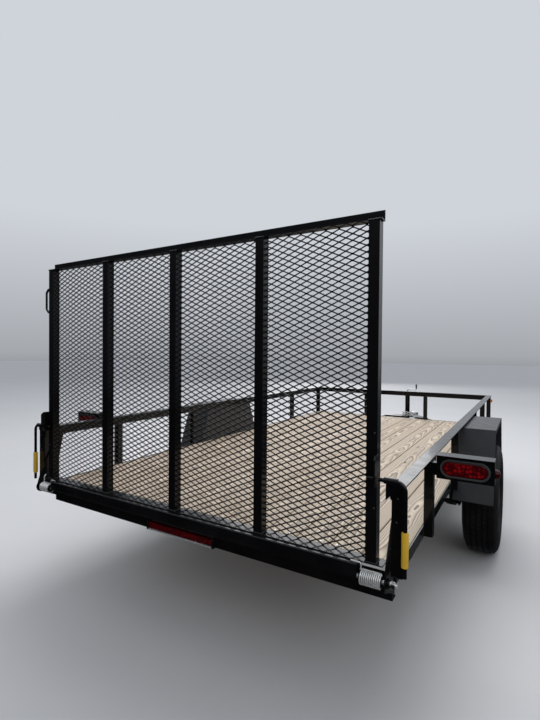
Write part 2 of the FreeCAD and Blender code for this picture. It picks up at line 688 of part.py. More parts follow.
# Hinge pins with their nuts
coil_end = ear_low - n.coil_gap
coil_start = coil_end - n.coil_long
bar_end = coil_start - n.bar_gap
pin_start = bar_end - n.pin_deep
ear_high = ear_low + n.ear_plate
nut_start = ear_high + n.collar_long
pin_end = nut_start + n.nut_thick + n.pin_over
pin_bar = rod("hinge_pin", "x", n.pin_radius, pin_end - pin_start, pin_start, pin_y, pin_z)
pin_collar = rod("hinge_collar", "x", n.collar_radius, n.collar_long, ear_high, pin_y, pin_z)
pin_nut = flats_rod("hinge_nut", 6, n.nut_radius, n.nut_thick, nut_start, pin_y, pin_z)
node(both("pin_pair", join("hinge_pin_nut", [pin_bar, pin_collar, pin_nut])), "hinge_pins")

# Latch guides: a tube on a small gusset at each rear corner
latch_y = along(-n.latch_back)
latch_z = rail_top + n.latch_over
guide_tube = rod("guide_tube", "x", n.guide_radius, n.guide_long, guide_start, latch_y, latch_z)
gusset_in = guide_start + 2
gusset_low = latch_z - n.gusset_drop
gusset = plate(
    "guide_gusset", "xz",
    [(gusset_in, latch_z), (guide_start + n.guide_long, latch_z),
     (n.side_outer + n.post_wide * 0.9, rail_under - n.steel),
     (gusset_in + n.post_wide * 0.7, gusset_low + n.post_wide * 0.7),
     (gusset_in, gusset_low)],
    along(-n.gusset_thick), along(0))
guide_bore = rod("guide_bore", "x", n.latch_rod + n.seat_gap, n.guide_long, guide_start, latch_y, latch_z)
guide = cut("guide", join("guide_blank", [guide_tube, gusset]), guide_bore)
node(both("guides", guide), "latch_guides")

# Latch rods: across the gate, then hanging down outside the post
latch_bar = bent_rod("latch_rod", n.latch_rod, latch_y, [
    (latch_tip, latch_z), (latch_leg - n.latch_bend, latch_z),
    (latch_leg, latch_z - n.latch_bend), (latch_leg, latch_z - n.latch_drop)])
node(both("rods", latch_bar), "latch_rods")
grip_low = latch_z - n.latch_drop + n.grip_rise
grip_out = rod("grip_outer", "z", n.grip_radius, n.grip_long, latch_leg, latch_y, grip_low)
grip_bore = rod("grip_bore", "z", n.latch_rod + n.seat_gap, n.grip_long, latch_leg, latch_y, grip_low)
node(both("grips", cut("grip", grip_out, grip_bore)), "latch_grips")

# Gate frame: uprights on a flat, the bottom bar with the pin bores, the top angle and the grab handle
mesh_front = n.upright_wide + n.mesh_thick * 2
upright_pitch = (gate_out * 2 - n.upright_wide) / 4
uprights = []
for k in range(5):
    left = upright_pitch * k - gate_out
    uprights.append(tube(
        "upright_%d" % k, (left, left + n.upright_wide), (along(0), along(n.upright_wide)),
        (foot_top, upright_top), n.tube_wall))
foot_out = coil_end - n.foot_short
foot = block("gate_foot", (-foot_out, foot_out), (along(-n.foot_rear), along(mesh_front)),
             (bar_top, foot_top))
bar_front = n.bar_deep - n.bar_rear
edge = n.bar_round
hinge_bar = plate(
    "gate_bar", "yz",
    [(along(-n.bar_rear), bar_bottom + edge), (along(-n.bar_rear), bar_top - edge * 0.3),
     (along(-n.bar_rear + edge * 0.3), bar_top), (along(bar_front), bar_top),
     (along(bar_front), bar_bottom + edge * 0.3), (along(bar_front - edge * 0.3), bar_bottom),
     (along(-n.bar_rear + edge), bar_bottom), (along(-n.bar_rear + edge * 0.3), bar_bottom + edge * 0.3)],
    -bar_end, bar_end)
bar_room_out = pin_start - 5
bore_right = rod("bar_bore_right", "x", n.pin_radius + n.pin_play, bar_end - bar_room_out,
                 bar_room_out, pin_y, pin_z)
bar_room = block("bar_room", (-bar_room_out, bar_room_out),
                 (along(-n.bar_rear + n.bar_wall), along(bar_front - n.bar_wall)),
                 (bar_bottom + n.bar_wall, bar_top - n.bar_wall))
bored_bar = cut("bar_bored", hinge_bar, join("bar_spaces", [
    bore_right, mirror("bar_bore_left", bore_right), bar_room]))
top_out = gate_out + n.top_bar_over
top_angle = plate(
    "gate_top", "yz",
    [(along(0), upright_top), (along(mesh_front), upright_top),
     (along(mesh_front), upright_top + n.top_bar_high),
     (along(mesh_front - n.top_bar_wall), upright_top + n.top_bar_high),
     (along(mesh_front - n.top_bar_wall), upright_top + n.top_bar_wall),
     (along(0), upright_top + n.top_bar_wall)],
    -top_out, top_out)
handle_x = gate_out + n.handle_reach
handle_low = upright_top - n.handle_drop
handle_top = handle_low + n.handle_high
handle = bent_rod("handle", n.handle_rod, along(n.upright_wide / 2), [
    (gate_out - n.tube_wall / 2, handle_low), (handle_x - n.handle_bend, handle_low),
    (handle_x, handle_low + n.handle_bend), (handle_x, handle_top - n.handle_bend),
    (handle_x - n.handle_bend, handle_top), (gate_out - n.tube_wall / 2, handle_top)])
left_handle = mirror("handle_left", handle)
node(join("gate", uprights + [foot, bored_bar, top_angle, left_handle]), "gate_frame")

# Gate mesh: two layers of crossing strands that draw the flat diamonds
def strands(sign, low, high):
    """One layer of slanting strands, clipped to the gate's panel."""
    x_side = gate_out.value - n.mesh_edge.value
    z_low, z_high = foot_top.value, upright_top.value
    slope = sign * n.mesh_short.value / n.mesh_long.value
    half = n.mesh_strand.value / 2 * math.hypot(1, slope)
    reach = abs(slope) * x_side
    pieces = []
    count = int((z_high - z_low + 2 * reach) // n.mesh_short.value)
    for k in range(count):
        middle = z_low - reach + n.mesh_short.value * (k + 0.5)
        edges = []
        for shift in (-half, half):
            spots = []
            for x in (-x_side, x_side):
                z = middle + shift + slope * x
                limit = min(max(z, z_low), z_high)
                if limit != z:
                    x = (limit - middle - shift) / slope
                spots.append((min(max(x, -x_side), x_side), limit))
            edges.append(spots)
        lower_edge, upper_edge = edges
        corners = lower_edge + upper_edge[::-1]
        spread = abs(lower_edge[0][0] - lower_edge[1][0]), abs(upper_edge[0][0] - upper_edge[1][0])
        if min(spread) < n.mesh_strand.value * 3:
            continue
        loop = [FreeCAD.Vector(x, low, z) for x, z in corners]
        face = Part.Face(Part.makePolygon(loop + loop[:1]))
        pieces.append(face.extrude(FreeCAD.Vector(0, high - low, 0)))
    return pieces


layer_start = along(n.upright_wide).value
layer = n.mesh_thick.value
mesh = doc.addObject("Part::Feature", "mesh")
mesh.Shape = Part.makeCompound(
    strands(1, layer_start, layer_start + layer) + strands(-1, layer_start + layer, layer_start + 2 * layer))
node(mesh, "gate_mesh")

# Latch lugs on the outer uprights, each with the stub that crosses the upright
lug_low = latch_z - n.lug_drop
lug_top = lug_low + n.lug_high
lug = plate(
    "latch_lug", "yz",
    [(along(-n.lug_behind), lug_low), (along(-n.lug_behind), lug_top - n.lug_thick * 2),
     (along(-n.lug_behind + n.lug_thick * 2), lug_top), (along(0), lug_top),
     (along(n.lug_thick * 2), lug_top - n.lug_thick * 2), (along(n.lug_thick * 2), lug_low)],
    gate_out, gate_out + n.lug_thick)
keeper = rod("keeper_stub", "x", n.latch_rod, gate_out + n.lug_thick - keeper_tip,
             keeper_tip, latch_y, latch_z)
node(both("lugs", join("lug", [lug, keeper])), "latch_lugs")

# Torsion springs round the hinge pins: close turns, and the tang that bears on the gate
turn_long = n.coil_long / n.coil_turns
core_radius = n.coil_radius - n.coil_groove
turns = [flats_rod("coil_core", n.coil_sides, core_radius, n.coil_long, coil_start, pin_y, pin_z)]
for k in range(int(n.coil_turns.value)):
    turns.append(flats_rod("coil_turn_%d" % k, n.coil_sides, n.coil_radius, turn_long * 3 / 4,
                           coil_start + turn_long * k, pin_y, pin_z))
coil_hole = flats_rod("coil_hole", n.coil_sides, n.coil_bore, n.coil_long, coil_start, pin_y, pin_z)
coil = cut("coil", join("coil_solid", turns), coil_hole)
tang_x = coil_start + n.tang_radius + 1
tang_bend = n.tang_radius * 2
tang_z = bar_top + n.seat_gap + n.tang_radius
gate_tang = bent_rod("gate_tang", n.tang_radius, pin_y, [
    (tang_x, pin_z + (n.coil_bore + n.coil_radius) / 2), (tang_x, tang_z - tang_bend),
    (tang_x - tang_bend, tang_z), (tang_x - tang_bend - n.tang_reach, tang_z)])
node(both("torsion_pair", join("torsion_right", [coil, gate_tang])), "torsion_springs")
frame_tang = rod("frame_tang", "z", n.tang_radius, n.tang_long, coil_end + n.tang_gap + n.tang_radius,
                 pin_y + n.pin_radius + n.tang_radius + n.seat_gap, pin_z)
node(both("frame_tangs", frame_tang), "spring_tangs")

# Fenders: flat top, leaning end plates, inner panel and an outer lip
sheet_t = n.fender_sheet
rear_low = fender_rear - n.fender_lean
front_low = fender_front + n.fender_lean
box_outer = plate(
    "fender_block", "yz",
    [(along(fender_rear), fender_top), (along(fender_front), fender_top),
     (along(front_low), fender_bottom), (along(rear_low), fender_bottom)],
    n.side_outer, fender_out)
slip = sheet_t
box_hollow = plate(
    "fender_hollow", "yz",
    [(along(fender_rear + slip), fender_top - sheet_t),
     (along(fender_front - slip), fender_top - sheet_t),
     (along(front_low - slip), fender_bottom), (along(rear_low + slip), fender_bottom)],
    n.side_outer + sheet_t, fender_out)
shell = cut("fender_shell", box_outer, box_hollow)
below_panel = block("fender_below", (n.side_outer, n.side_outer + sheet_t),
                    (along(rear_low + slip), along(front_low - slip)), (fender_bottom, fender_inner))
lip = block("fender_lip_strip", (fender_out - sheet_t, fender_out),
            (along(fender_rear + slip), along(fender_front - slip)),
            (fender_top - n.fender_lip, fender_top - sheet_t))
fender = join("fender", [cut("fender_open", shell, below_panel), lip])
node(fender, "fender_right")
node(mirror("fender_other", fender), "fender_left")

# Tail light boxes on their brackets, with oval recesses
lamp_x = (lamp_inner, lamp_inner + n.lamp_wide)
lamp_y = (along(n.lamp_rear), along(n.lamp_rear + n.lamp_deep))
lamp_z = (lamp_low, lamp_low + n.lamp_high)
lamp_mid_x = lamp_inner + n.lamp_wide / 2
lamp_mid_z = lamp_low + n.lamp_high / 2


def oval(name, wide, high, start, end):
    """Long-oval prism centred on the light box."""
    half = (wide - high) / 2
    return join(name, [
        block(name + "_mid", (lamp_mid_x - half, lamp_mid_x + half), (along(start), along(end)),
              (lamp_mid_z - high / 2, lamp_mid_z + high / 2)),
        rod(name + "_left", "y", high / 2, end - start, lamp_mid_x - half, along(start), lamp_mid_z),
        rod(name + "_right", "y", high / 2, end - start, lamp_mid_x + half, along(start), lamp_mid_z),
    ])


grommet_wide = n.lens_wide + n.grommet_wall * 2
grommet_high = n.lens_high + n.grommet_wall * 2
recess_end = n.lamp_rear + n.lamp_recess
recess = oval("lamp_recess_tool", grommet_wide + n.seat_gap * 2, grommet_high + n.seat_gap * 2,
              n.lamp_rear - n.grommet_out, recess_end)
box_room = block("light_box_room", (lamp_x[0] + n.lamp_wall, lamp_x[1] - n.lamp_wall),
                 (lamp_y[0] + n.lamp_wall, lamp_y[1]), (lamp_z[0] + n.lamp_wall, lamp_z[1] - n.lamp_wall))
light_box = cut("light_box_bored", block("light_box_block", lamp_x, lamp_y, lamp_z),
                join("light_box_spaces", [recess, box_room]))
lamp_cap = block("lamp_cap", lamp_x, (along(n.lamp_rear - n.lamp_lip), lamp_y[1]),
                 (lamp_z[1], lamp_z[1] + n.lamp_lip_thick))
post_face = n.side_outer + n.post_wide
arm_start = n.lamp_rear + n.lamp_lip
arm_z = (arm_low, arm_low + n.arm_high)
lamp_arm = block("lamp_arm", (post_face, lamp_inner),
                 (along(arm_start), along(n.lamp_rear + n.lamp_deep - n.steel * 2)), arm_z)
arm_strip = block("lamp_arm_strip", (post_face, post_face + n.steel),
                  (along(arm_start), along(lamp_post + n.post_wide)), arm_z)
node(both("light_box_pair", join("light_box", [light_box, lamp_cap, lamp_arm, arm_strip])), "light_boxes")
grommet_blank = oval("grommet_blank", grommet_wide, grommet_high, n.lamp_rear - n.grommet_out, recess_end)
grommet_bore = oval("grommet_bore", n.lens_wide + n.seat_gap * 2, n.lens_high + n.seat_gap * 2,
                    n.lamp_rear - n.grommet_out, recess_end)
node(both("grommets", cut("grommet", grommet_blank, grommet_bore)), "lamp_grommets")
lens = oval("lens", n.lens_wide, n.lens_high, n.lamp_rear - n.grommet_out - n.lens_out, recess_end)
node(both("lenses", lens), "tail_lenses")
marker = rod("marker_red", "x", n.marker_radius, n.marker_out, lamp_x[1],
             along(n.lamp_rear + n.lamp_deep / 2), marker_height)
node(both("markers_red", marker), "side_markers_red")
amber = rod("marker_amber", "x", n.marker_radius, n.marker_out, post_face,
            along(POSTS[-1][1] + n.post_wide / 2), amber_height)
node(both("markers_amber", amber), "side_markers_amber")
node(block("lamp_strip", (-n.bar_lamp_wide / 2, n.bar_lamp_wide / 2),
           (along(n.sill_face - n.bar_lamp_deep), along(n.sill_face)),
           (bar_lamp_low, bar_lamp_low + n.bar_lamp_high)), "lamp_bar")

# Axle: tube, spindles and the pads that stand on the leaf springs
axle_y = along(n.axle_place)
axle_z = n.tyre_radius
wheel_mid = tyre_out - n.tyre_wide / 2
hub_start = wheel_mid - n.hub_inner
beam_end = hub_start - n.beam_gap
spindle_end = wheel_mid + n.disc_place - n.spindle_end
beam = rod("axle_tube", "x", n.beam_radius, beam_end * 2, -beam_end, axle_y, axle_z)
spindles = rod("axle_spindles", "x", n.spindle_radius, spindle_end * 2, -spindle_end, axle_y, axle_z)
leaf_x = (leaf_place - n.leaf_wide / 2, leaf_place + n.leaf_wide / 2)
leaf_top = axle_z - n.beam_radius - n.pad_thick
pad_block = block("spring_pad", leaf_x, (axle_y - n.pad_half, axle_y + n.pad_half), (leaf_top, axle_z))
node(join("axle", [beam, spindles, pad_block, mirror("spring_pad_other", pad_block)]), "axle_beam")

# Leaf springs: three leaves as one stepped arch, with rolled eyes at both ends
LEAF_SHARES = [1.0, 0.8, 0.6, 0.4, 0.2]
flat = n.pad_half
leaf_run = n.leaf_half - flat
arch_rise = n.leaf_arch / (leaf_run * leaf_run)


def leaf_spot(side, away, leaves_above):
    """Point of the arch, so far from the pad, under a number of leaves."""
    return axle_y + (flat + away) * side, leaf_top - n.leaf_thick * leaves_above + arch_rise * away * away


half_under = []
ends = [(1, n.leaf_half), (2, n.leaf_second), (3, n.leaf_third), (3, flat)]
for (layer_count, end), (_, next_end) in zip(ends, ends[1:]):
    start, stop = end - flat, next_end - flat
    half_under.append((start, layer_count))
    half_under.append(((start + stop) / 2, layer_count))
    if layer_count < len(ends) - 1:
        half_under.append((stop, layer_count))
half_under.append((as_size(0), 3))
upper_half = [leaf_run * share for share in LEAF_SHARES] + [as_size(0)]
leaf_outline = [leaf_spot(-1, away, 0) for away in upper_half]
leaf_outline += [leaf_spot(1, away, 0) for away in upper_half[::-1]]
leaf_outline += [leaf_spot(1, away, count) for away, count in half_under]
leaf_outline += [leaf_spot(-1, away, count) for away, count in half_under[::-1]]
leaf_pad = plate("leaf_stack", "yz", leaf_outline, leaf_x[0], leaf_x[1])
eye_z = leaf_top + n.leaf_arch - n.leaf_thick / 2
eyes = []
eye_bores = []
for k, side in enumerate((-1, 1)):
    eye_y = axle_y + n.leaf_half * side
    eyes.append(flats_rod("eye_%d" % k, n.eye_sides, n.eye_radius, n.leaf_wide, leaf_x[0], eye_y, eye_z))
    eye_bores.append(flats_rod("eye_bore_%d" % k, n.eye_sides, n.eye_bolt + n.seat_gap, n.leaf_wide,
                               leaf_x[0], eye_y, eye_z))
leaf_pack = cut("leaf_pack", join("leaf_blank", [leaf_pad] + eyes), group("eye_bores", eye_bores))
node(both("leaf_packs", leaf_pack), "leaf_springs")

# Spring hangers under the side members, with the eye bolts
hangers = []
wall = n.hanger_plate
for k, side in enumerate((-1, 1)):
    middle = axle_y + n.leaf_half * side
    span = (middle - n.hanger_half, middle + n.hanger_half)
    inside = leaf_x[0] - n.hanger_play
    outside = leaf_x[1] + n.hanger_play
    low = eye_z - n.eye_radius
    hangers.append(join("hanger_%d" % k, [
        block("hanger_in_%d" % k, (inside - wall, inside), span, (low, side_bottom)),
        block("hanger_out_%d" % k, (outside, outside + wall), span, (low, side_bottom)),
        block("hanger_roof_%d" % k, (inside - wall, outside + wall), span,
              (side_bottom - wall, side_bottom)),
        flats_rod("hanger_bolt_%d" % k, n.eye_sides, n.eye_bolt, outside - inside, inside, middle, eye_z),
        flats_rod("bolt_head_%d" % k, 6, n.bolt_head, n.bolt_head_thick,
                  inside - wall - n.bolt_head_thick, middle, eye_z),
        flats_rod("bolt_nut_%d" % k, 6, n.bolt_head, n.bolt_head_thick, outside + wall, middle, eye_z),
    ]))
node(both("hangers", group("hangers_right", hangers)), "spring_hangers")

# Wheels: places along the axis are outward of the wheel's middle plane
tread = n.tread_wide / 2
belly = n.tyre_wide / 2
bead = n.rim_wide / 2
crown = n.tyre_radius
half_section = [
    (bead, n.rim_radius), (bead, n.rim_radius + n.rim_flange + n.seat_gap),
    (belly, n.belly_low), (belly, n.belly_high), (tread, crown),
]
tyre = turned("tyre", half_section + [(-a, b) for a, b in half_section[::-1]])
place(tyre, wheel_mid, axle_y, axle_z)
seat = n.rim_radius - n.seat_gap
flange_top = n.rim_radius + n.rim_flange
rim_in = bead + n.seat_gap
disc_out = n.disc_place
disc_in = n.disc_place - n.disc_thick
barrel = seat - n.rim_wall
disc_hole = n.cap_radius + n.seat_gap
rim_turned = turned("rim_blank", [
    (-rim_in, seat), (-rim_in, flange_top), (-(rim_in + n.rim_edge), flange_top),
    (-(rim_in + n.rim_edge), barrel), (disc_in, barrel), (disc_in, disc_hole),
    (disc_out, disc_hole), (disc_out, barrel), (rim_in + n.rim_edge, barrel),
    (rim_in + n.rim_edge, flange_top), (rim_in, flange_top), (rim_in, seat),
])
windows = []
for k in range(int(n.window_count.value)):
    angle = 360 * (k + 0.5) / n.window_count.value
    window = plate(
        "window_%d" % k, "yz",
        [(-n.window_half, n.window_inner), (n.window_half, n.window_inner),
         (n.window_half * 1.6, n.window_outer), (-n.window_half * 1.6, n.window_outer)],
        disc_in - n.disc_thick, disc_out + n.disc_thick)
    window.Placement = FreeCAD.Placement(FreeCAD.Vector(), FreeCAD.Rotation(FreeCAD.Vector(1, 0, 0), angle))
    windows.append(window)
rim = cut("rim_open", rim_turned, group("windows", windows))
place(rim, wheel_mid, axle_y, axle_z)
bore = n.spindle_radius + n.spindle_play
cap_out = disc_out + n.cap_long
hub = turned("hub", [
    (-n.hub_inner, bore), (-n.hub_inner, n.hub_barrel), (disc_in - n.hub_flange, n.hub_barrel),
    (disc_in - n.hub_flange, n.hub_radius), (disc_in, n.hub_radius), (disc_in, n.cap_radius),
    (cap_out, n.cap_radius), (cap_out, 0), (disc_out, 0), (disc_out, bore),
])
place(hub, wheel_mid, axle_y, axle_z)
for piece, label in ((tyre, "tyre"), (rim, "rim"), (hub, "hub")):
    node(piece, label + "_right")
    node(mirror(label + "_mirrored", piece), label + "_left")

# Tongue: two rails that meet behind the coupler, and the jack's mounting plate
tongue_low = tongue_top - n.tongue_high
half_wide = n.tongue_wide / 2


def rail_strip(name, inner, outer, low, high):
    """Length of one tongue rail between two faces beside its axis."""
    return plate(name, "xy", [
        (tongue_spread + inner, along(n.frame_front)), (tongue_spread + outer, along(n.frame_front)),
        (n.nose_half + outer, along(tongue_nose)), (n.nose_half + inner, along(tongue_nose))], low, high)


tongue_rail = join("tongue_rail", [
    rail_strip("tongue_web", half_wide - n.tongue_web, half_wide, tongue_low, tongue_top),
    rail_strip("tongue_upper", -half_wide, half_wide, tongue_top - n.tongue_flange, tongue_top),
    rail_strip("tongue_lower", -half_wide, half_wide, tongue_low, tongue_low + n.tongue_flange),
])
jack_y = along(jack_place)
mount_z = (tongue_top, tongue_top + n.mount_thick)
run = tongue_nose - n.frame_front
from_nose = tongue_nose - jack_place
reach_rear = n.nose_half + (tongue_spread - n.nose_half) * (from_nose + n.mount_half) / run
reach_front = n.nose_half + (tongue_spread - n.nose_half) * (from_nose - n.mount_half) / run
mount_plate = plate(
    "jack_mount", "xy",
    [(-reach_rear, jack_y - n.mount_half), (reach_rear, jack_y - n.mount_half),
     (reach_front, jack_y + n.mount_half), (-reach_front, jack_y + n.mount_half)],
    mount_z[0], mount_z[1], holes=[(0, jack_y, n.jack_radius)])
node(join("tongue_frame", [tongue_rail, mirror("tongue_rail_other", tongue_rail), mount_plate]), "tongue")

# Coupler: a channel over the tongue's nose with the ball socket ahead of it
ball_y = along(ball_place)
socket = n.ball_radius + n.ball_play
coupler_top = tongue_top + n.coupler_wall
coupler_roof = block("coupler_roof", (-n.coupler_half, n.coupler_half), (along(coupler_rear), ball_y),
                     (tongue_top, coupler_top))
coupler_side = block("coupler_side", (n.coupler_half - n.coupler_wall, n.coupler_half),
                     (along(tongue_nose + n.coupler_wall), ball_y),
                     (coupler_low, tongue_top))
corner = math.tan(math.radians(22.5))
dome = socket + n.socket_wall
socket_cup = turned("socket_cup", [
    (0, ball_height + dome), (dome * corner, ball_height + dome),
    (dome, ball_height + dome * corner), (dome, socket_low), (0, socket_low)], "V_Axis")
ball_room = turned("ball_room", [
    (0, ball_height + socket), (socket * corner, ball_height + socket),
    (socket, ball_height + socket * corner), (socket, socket_low), (0, socket_low)], "V_Axis")
for cup in (socket_cup, ball_room):
    place(cup, 0, ball_y, 0)
coupler_blank = join("coupler_blank", [coupler_roof, coupler_side, mirror("coupler_side_other", coupler_side),
                                       socket_cup])
node(cut("coupler_body", coupler_blank, ball_room), "coupler")
lever_y = along(ball_place - n.latch_lever)
lever = join("lever", [
    block("lever_flat", (-n.coupler_half / 3, n.coupler_half / 3),
          (lever_y - n.latch_lever / 2, lever_y + n.latch_lever / 3),
          (coupler_top, coupler_top + n.coupler_wall * 2)),
    rod("lever_pivot", "x", n.coupler_wall * 1.5, n.coupler_half, -n.coupler_half / 2, lever_y,
        coupler_top + n.coupler_wall * 1.5),
])
node(lever, "coupler_latch")

# Jack: tube through the mounting plate, crank on top, leg and foot below
jack_high = jack_top - jack_low
jack_pipe = rod("jack_pipe", "z", n.jack_radius, jack_high, 0, jack_y, jack_low)
jack_bore = rod("jack_bore", "z", n.leg_radius + n.leg_play, jack_high - n.mount_thick, 0, jack_y, jack_low)
node(cut("jack_tube_bored", jack_pipe, jack_bore), "jack_tube")
crank_z = jack_top + n.crank_rise
crank_rod = bent_rod("crank_rod", n.crank_radius, jack_y, [
    (0, jack_top), (0, crank_z), (n.crank_reach, crank_z), (n.crank_reach, crank_z + n.crank_knob)])
crank_grip = rod("crank_grip", "z", n.crank_radius * 1.6, n.crank_knob - n.crank_radius * 3,
                 n.crank_reach, jack_y, crank_z + n.crank_radius * 2)
crank = join("crank", [crank_rod, crank_grip])
node(crank, "jack_crank")
leg = rod("jack_leg_bar", "z", n.leg_radius, leg_top, 0, jack_y, 0)
leg_foot = block("jack_foot", (-n.foot_half, n.foot_half),
                 (jack_y - n.foot_half, jack_y + n.foot_half), (0, n.foot_thick))
node(join("leg_and_foot", [leg, leg_foot]), "jack_leg")

# Safety chains: loops of links, flat and on edge by turns, round the jack on the mounting plate
wire = n.chain_wire.value
link_half = n.link_wide.value / 2 + wire


def link_loop(half_long, half_wide, bevel):
    """Outline of a chain link or of its hole, with bevelled corners."""
    a, b = half_long, half_wide
    corners = [(a, b - bevel), (a - bevel, b), (bevel - a, b), (-a, b - bevel),
               (-a, bevel - b), (bevel - a, -b), (a - bevel, -b), (a, bevel - b)]
    loop = [FreeCAD.Vector(x, y, -wire / 2) for x, y in corners]
    return Part.Face(Part.makePolygon(loop + loop[:1]))


def chain_link(flat, angle, ring_radius, level):
    """One link of a loop, lying flat or standing on edge."""
    half_long = n.link_long.value / 2
    outside = link_loop(half_long + wire, link_half, n.link_corner.value)
    hole = link_loop(half_long, link_half - wire, n.link_corner.value / 3)
    shape = outside.cut(hole).extrude(FreeCAD.Vector(0, 0, wire))
    if not flat:
        shape.rotate(FreeCAD.Vector(), FreeCAD.Vector(1, 0, 0), 90)
    shape.rotate(FreeCAD.Vector(), FreeCAD.Vector(0, 0, 1), math.degrees(angle) + 90)
    middle_x = ring_radius * math.cos(angle)
    middle_y = jack_y.value + ring_radius * math.sin(angle)
    shape.translate(FreeCAD.Vector(middle_x, middle_y, level))
    return shape


link_count = 2 * int(n.chain_pairs.value)
link_pitch = n.link_long.value - n.link_slack.value
loop_radius = link_pitch * link_count / (2 * math.pi)
links = []
for loop in range(int(n.chain_loops.value)):
    level = mount_z[1].value + link_half + n.seat_gap.value + loop * (link_half * 2 + n.seat_gap.value)
    for k in range(link_count):
        links.append(chain_link(k % 2 == 0, 2 * math.pi * k / link_count, loop_radius, level))
chains = doc.addObject("Part::Feature", "chains")
chains.Shape = Part.makeCompound(links)
node(chains, "safety_chains")

doc.recompute()
for thing in doc.Objects:
    bad = [word for word in thing.State if word in ("Invalid", "Error")]
    if bad:
        raise RuntimeError("%s is %s" % (thing.Name, bad))
for thing in NODES:
    shape = thing.Shape
    if shape.isNull() or not shape.isValid():
        raise RuntimeError("%s has no valid shape" % thing.Label)
    shape.exportStep("parts/%s.step" % thing.Label)
    print("%-22s %2d solids  %.4f litres" % (thing.Label, len(shape.Solids), shape.Volume / 1e6))
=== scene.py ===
"""Looks of the utility trailer: finishes for its steel, boards and lamps, and its finer pieces."""
import json
import math
from functools import reduce

import bmesh
import bpy
from mathutils import Matrix, Vector


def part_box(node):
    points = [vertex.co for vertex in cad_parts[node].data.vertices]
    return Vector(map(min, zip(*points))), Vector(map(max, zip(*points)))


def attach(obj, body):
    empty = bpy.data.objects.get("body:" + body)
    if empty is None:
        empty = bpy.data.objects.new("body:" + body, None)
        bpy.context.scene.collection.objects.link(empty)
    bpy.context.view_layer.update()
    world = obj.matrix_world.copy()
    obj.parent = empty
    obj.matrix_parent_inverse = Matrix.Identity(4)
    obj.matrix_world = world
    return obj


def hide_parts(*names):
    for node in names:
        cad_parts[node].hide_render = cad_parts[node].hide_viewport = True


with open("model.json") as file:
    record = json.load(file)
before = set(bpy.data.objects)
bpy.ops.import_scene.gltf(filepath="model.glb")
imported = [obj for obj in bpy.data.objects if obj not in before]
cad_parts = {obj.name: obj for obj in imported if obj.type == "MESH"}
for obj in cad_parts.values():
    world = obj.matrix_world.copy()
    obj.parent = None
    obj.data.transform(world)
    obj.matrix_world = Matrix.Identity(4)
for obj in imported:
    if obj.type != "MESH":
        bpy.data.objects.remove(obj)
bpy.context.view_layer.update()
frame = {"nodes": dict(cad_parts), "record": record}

NODES = frame["nodes"]
SIDES = (("right", 1), ("left", -1))
QUARTER = math.pi / 2


# Node trees: nodes are put in with their settings, and sockets are joined by name
def put(tree, kind, values=None, **settings):
    """Add a node; values are its inputs, as plain values or as sockets of other nodes."""
    node = tree.nodes.new(kind)
    for key, value in settings.items():
        setattr(node, key, value)
    for key, value in (values or {}).items():
        if isinstance(value, bpy.types.NodeSocket):
            tree.links.new(value, node.inputs[key])
        else:
            node.inputs[key].default_value = value
    return node


def got(tree, kind, values=None, **settings):
    """First output of an added node."""
    return put(tree, kind, values, **settings).outputs[0]


def calc(tree, operation, *values, clamp=False):
    """Result of a math node."""
    return got(tree, "ShaderNodeMath", dict(enumerate(values)), operation=operation, use_clamp=clamp)


def plus(tree, *values):
    """Sum of several values."""
    return reduce(lambda total, value: calc(tree, "ADD", total, value), values)


def times(tree, *values):
    """Product of several values."""
    return reduce(lambda total, value: calc(tree, "MULTIPLY", total, value), values)


def minus(tree, value, other):
    """Difference of two values."""
    return calc(tree, "SUBTRACT", value, other)


def diagonal(tree, across, along):
    """Length of the slanting side over two sides at right angles."""
    return calc(tree, "SQRT", plus(tree, times(tree, across, across), times(tree, along, along)))


def spread(tree, value, low, high, new_low=0.0, new_high=1.0):
    """Value moved from one range to another, and held inside it."""
    values = {"Value": value, "From Min": low, "From Max": high, "To Min": new_low, "To Max": new_high}
    return put(tree, "ShaderNodeMapRange", values, clamp=True).outputs["Result"]


def noise(tree, place, scale, detail=2.0, rough=0.5):
    """Cloudy values around a half."""
    values = {"Vector": place, "Scale": scale, "Detail": detail, "Roughness": rough}
    return put(tree, "ShaderNodeTexNoise", values).outputs["Fac"]


def axes(tree, place):
    """X, Y and Z of a place."""
    return put(tree, "ShaderNodeSeparateXYZ", {"Vector": place}).outputs


def vector(tree, x=0.0, y=0.0, z=0.0):
    return got(tree, "ShaderNodeCombineXYZ", {"X": x, "Y": y, "Z": z})


def tint(tree, factor, first, second):
    """Mix of two colours, each a socket or red, green and blue."""
    ends = [end if isinstance(end, bpy.types.NodeSocket) else (*end, 1.0) for end in (first, second)]
    return put(tree, "ShaderNodeMix", {0: factor, 6: ends[0], 7: ends[1]}, data_type="RGBA").outputs[2]


SOCKET_KINDS = {int: "Int", float: "Float", tuple: "Vector", type(None): "Geometry"}


def new_group(kind, name, inputs, outputs):
    """Node group with named inputs at their usual values, and the nodes that stand for them."""
    group = bpy.data.node_groups.new(name, kind)
    for label, usual in inputs.items():
        socket = "NodeSocket" + SOCKET_KINDS[type(usual)]
        item = group.interface.new_socket(label, in_out="INPUT", socket_type=socket)
        if usual is not None:
            item.default_value = usual
    for label, socket in outputs.items():
        group.interface.new_socket(label, in_out="OUTPUT", socket_type="NodeSocket" + socket)
    return group, group.nodes.new("NodeGroupInput").outputs, group.nodes.new("NodeGroupOutput").inputs


def effect_group(name, inputs, outputs):
    """Shader group that reads a place and named values."""
    return new_group("ShaderNodeTree", name, {"Vector": (0.0, 0.0, 0.0), **inputs}, outputs)


def shape_group(name, inputs):
    """Geometry group with named sizes; an input without a value is its source."""
    return new_group("GeometryNodeTree", name, inputs, {"Geometry": "Geometry"})


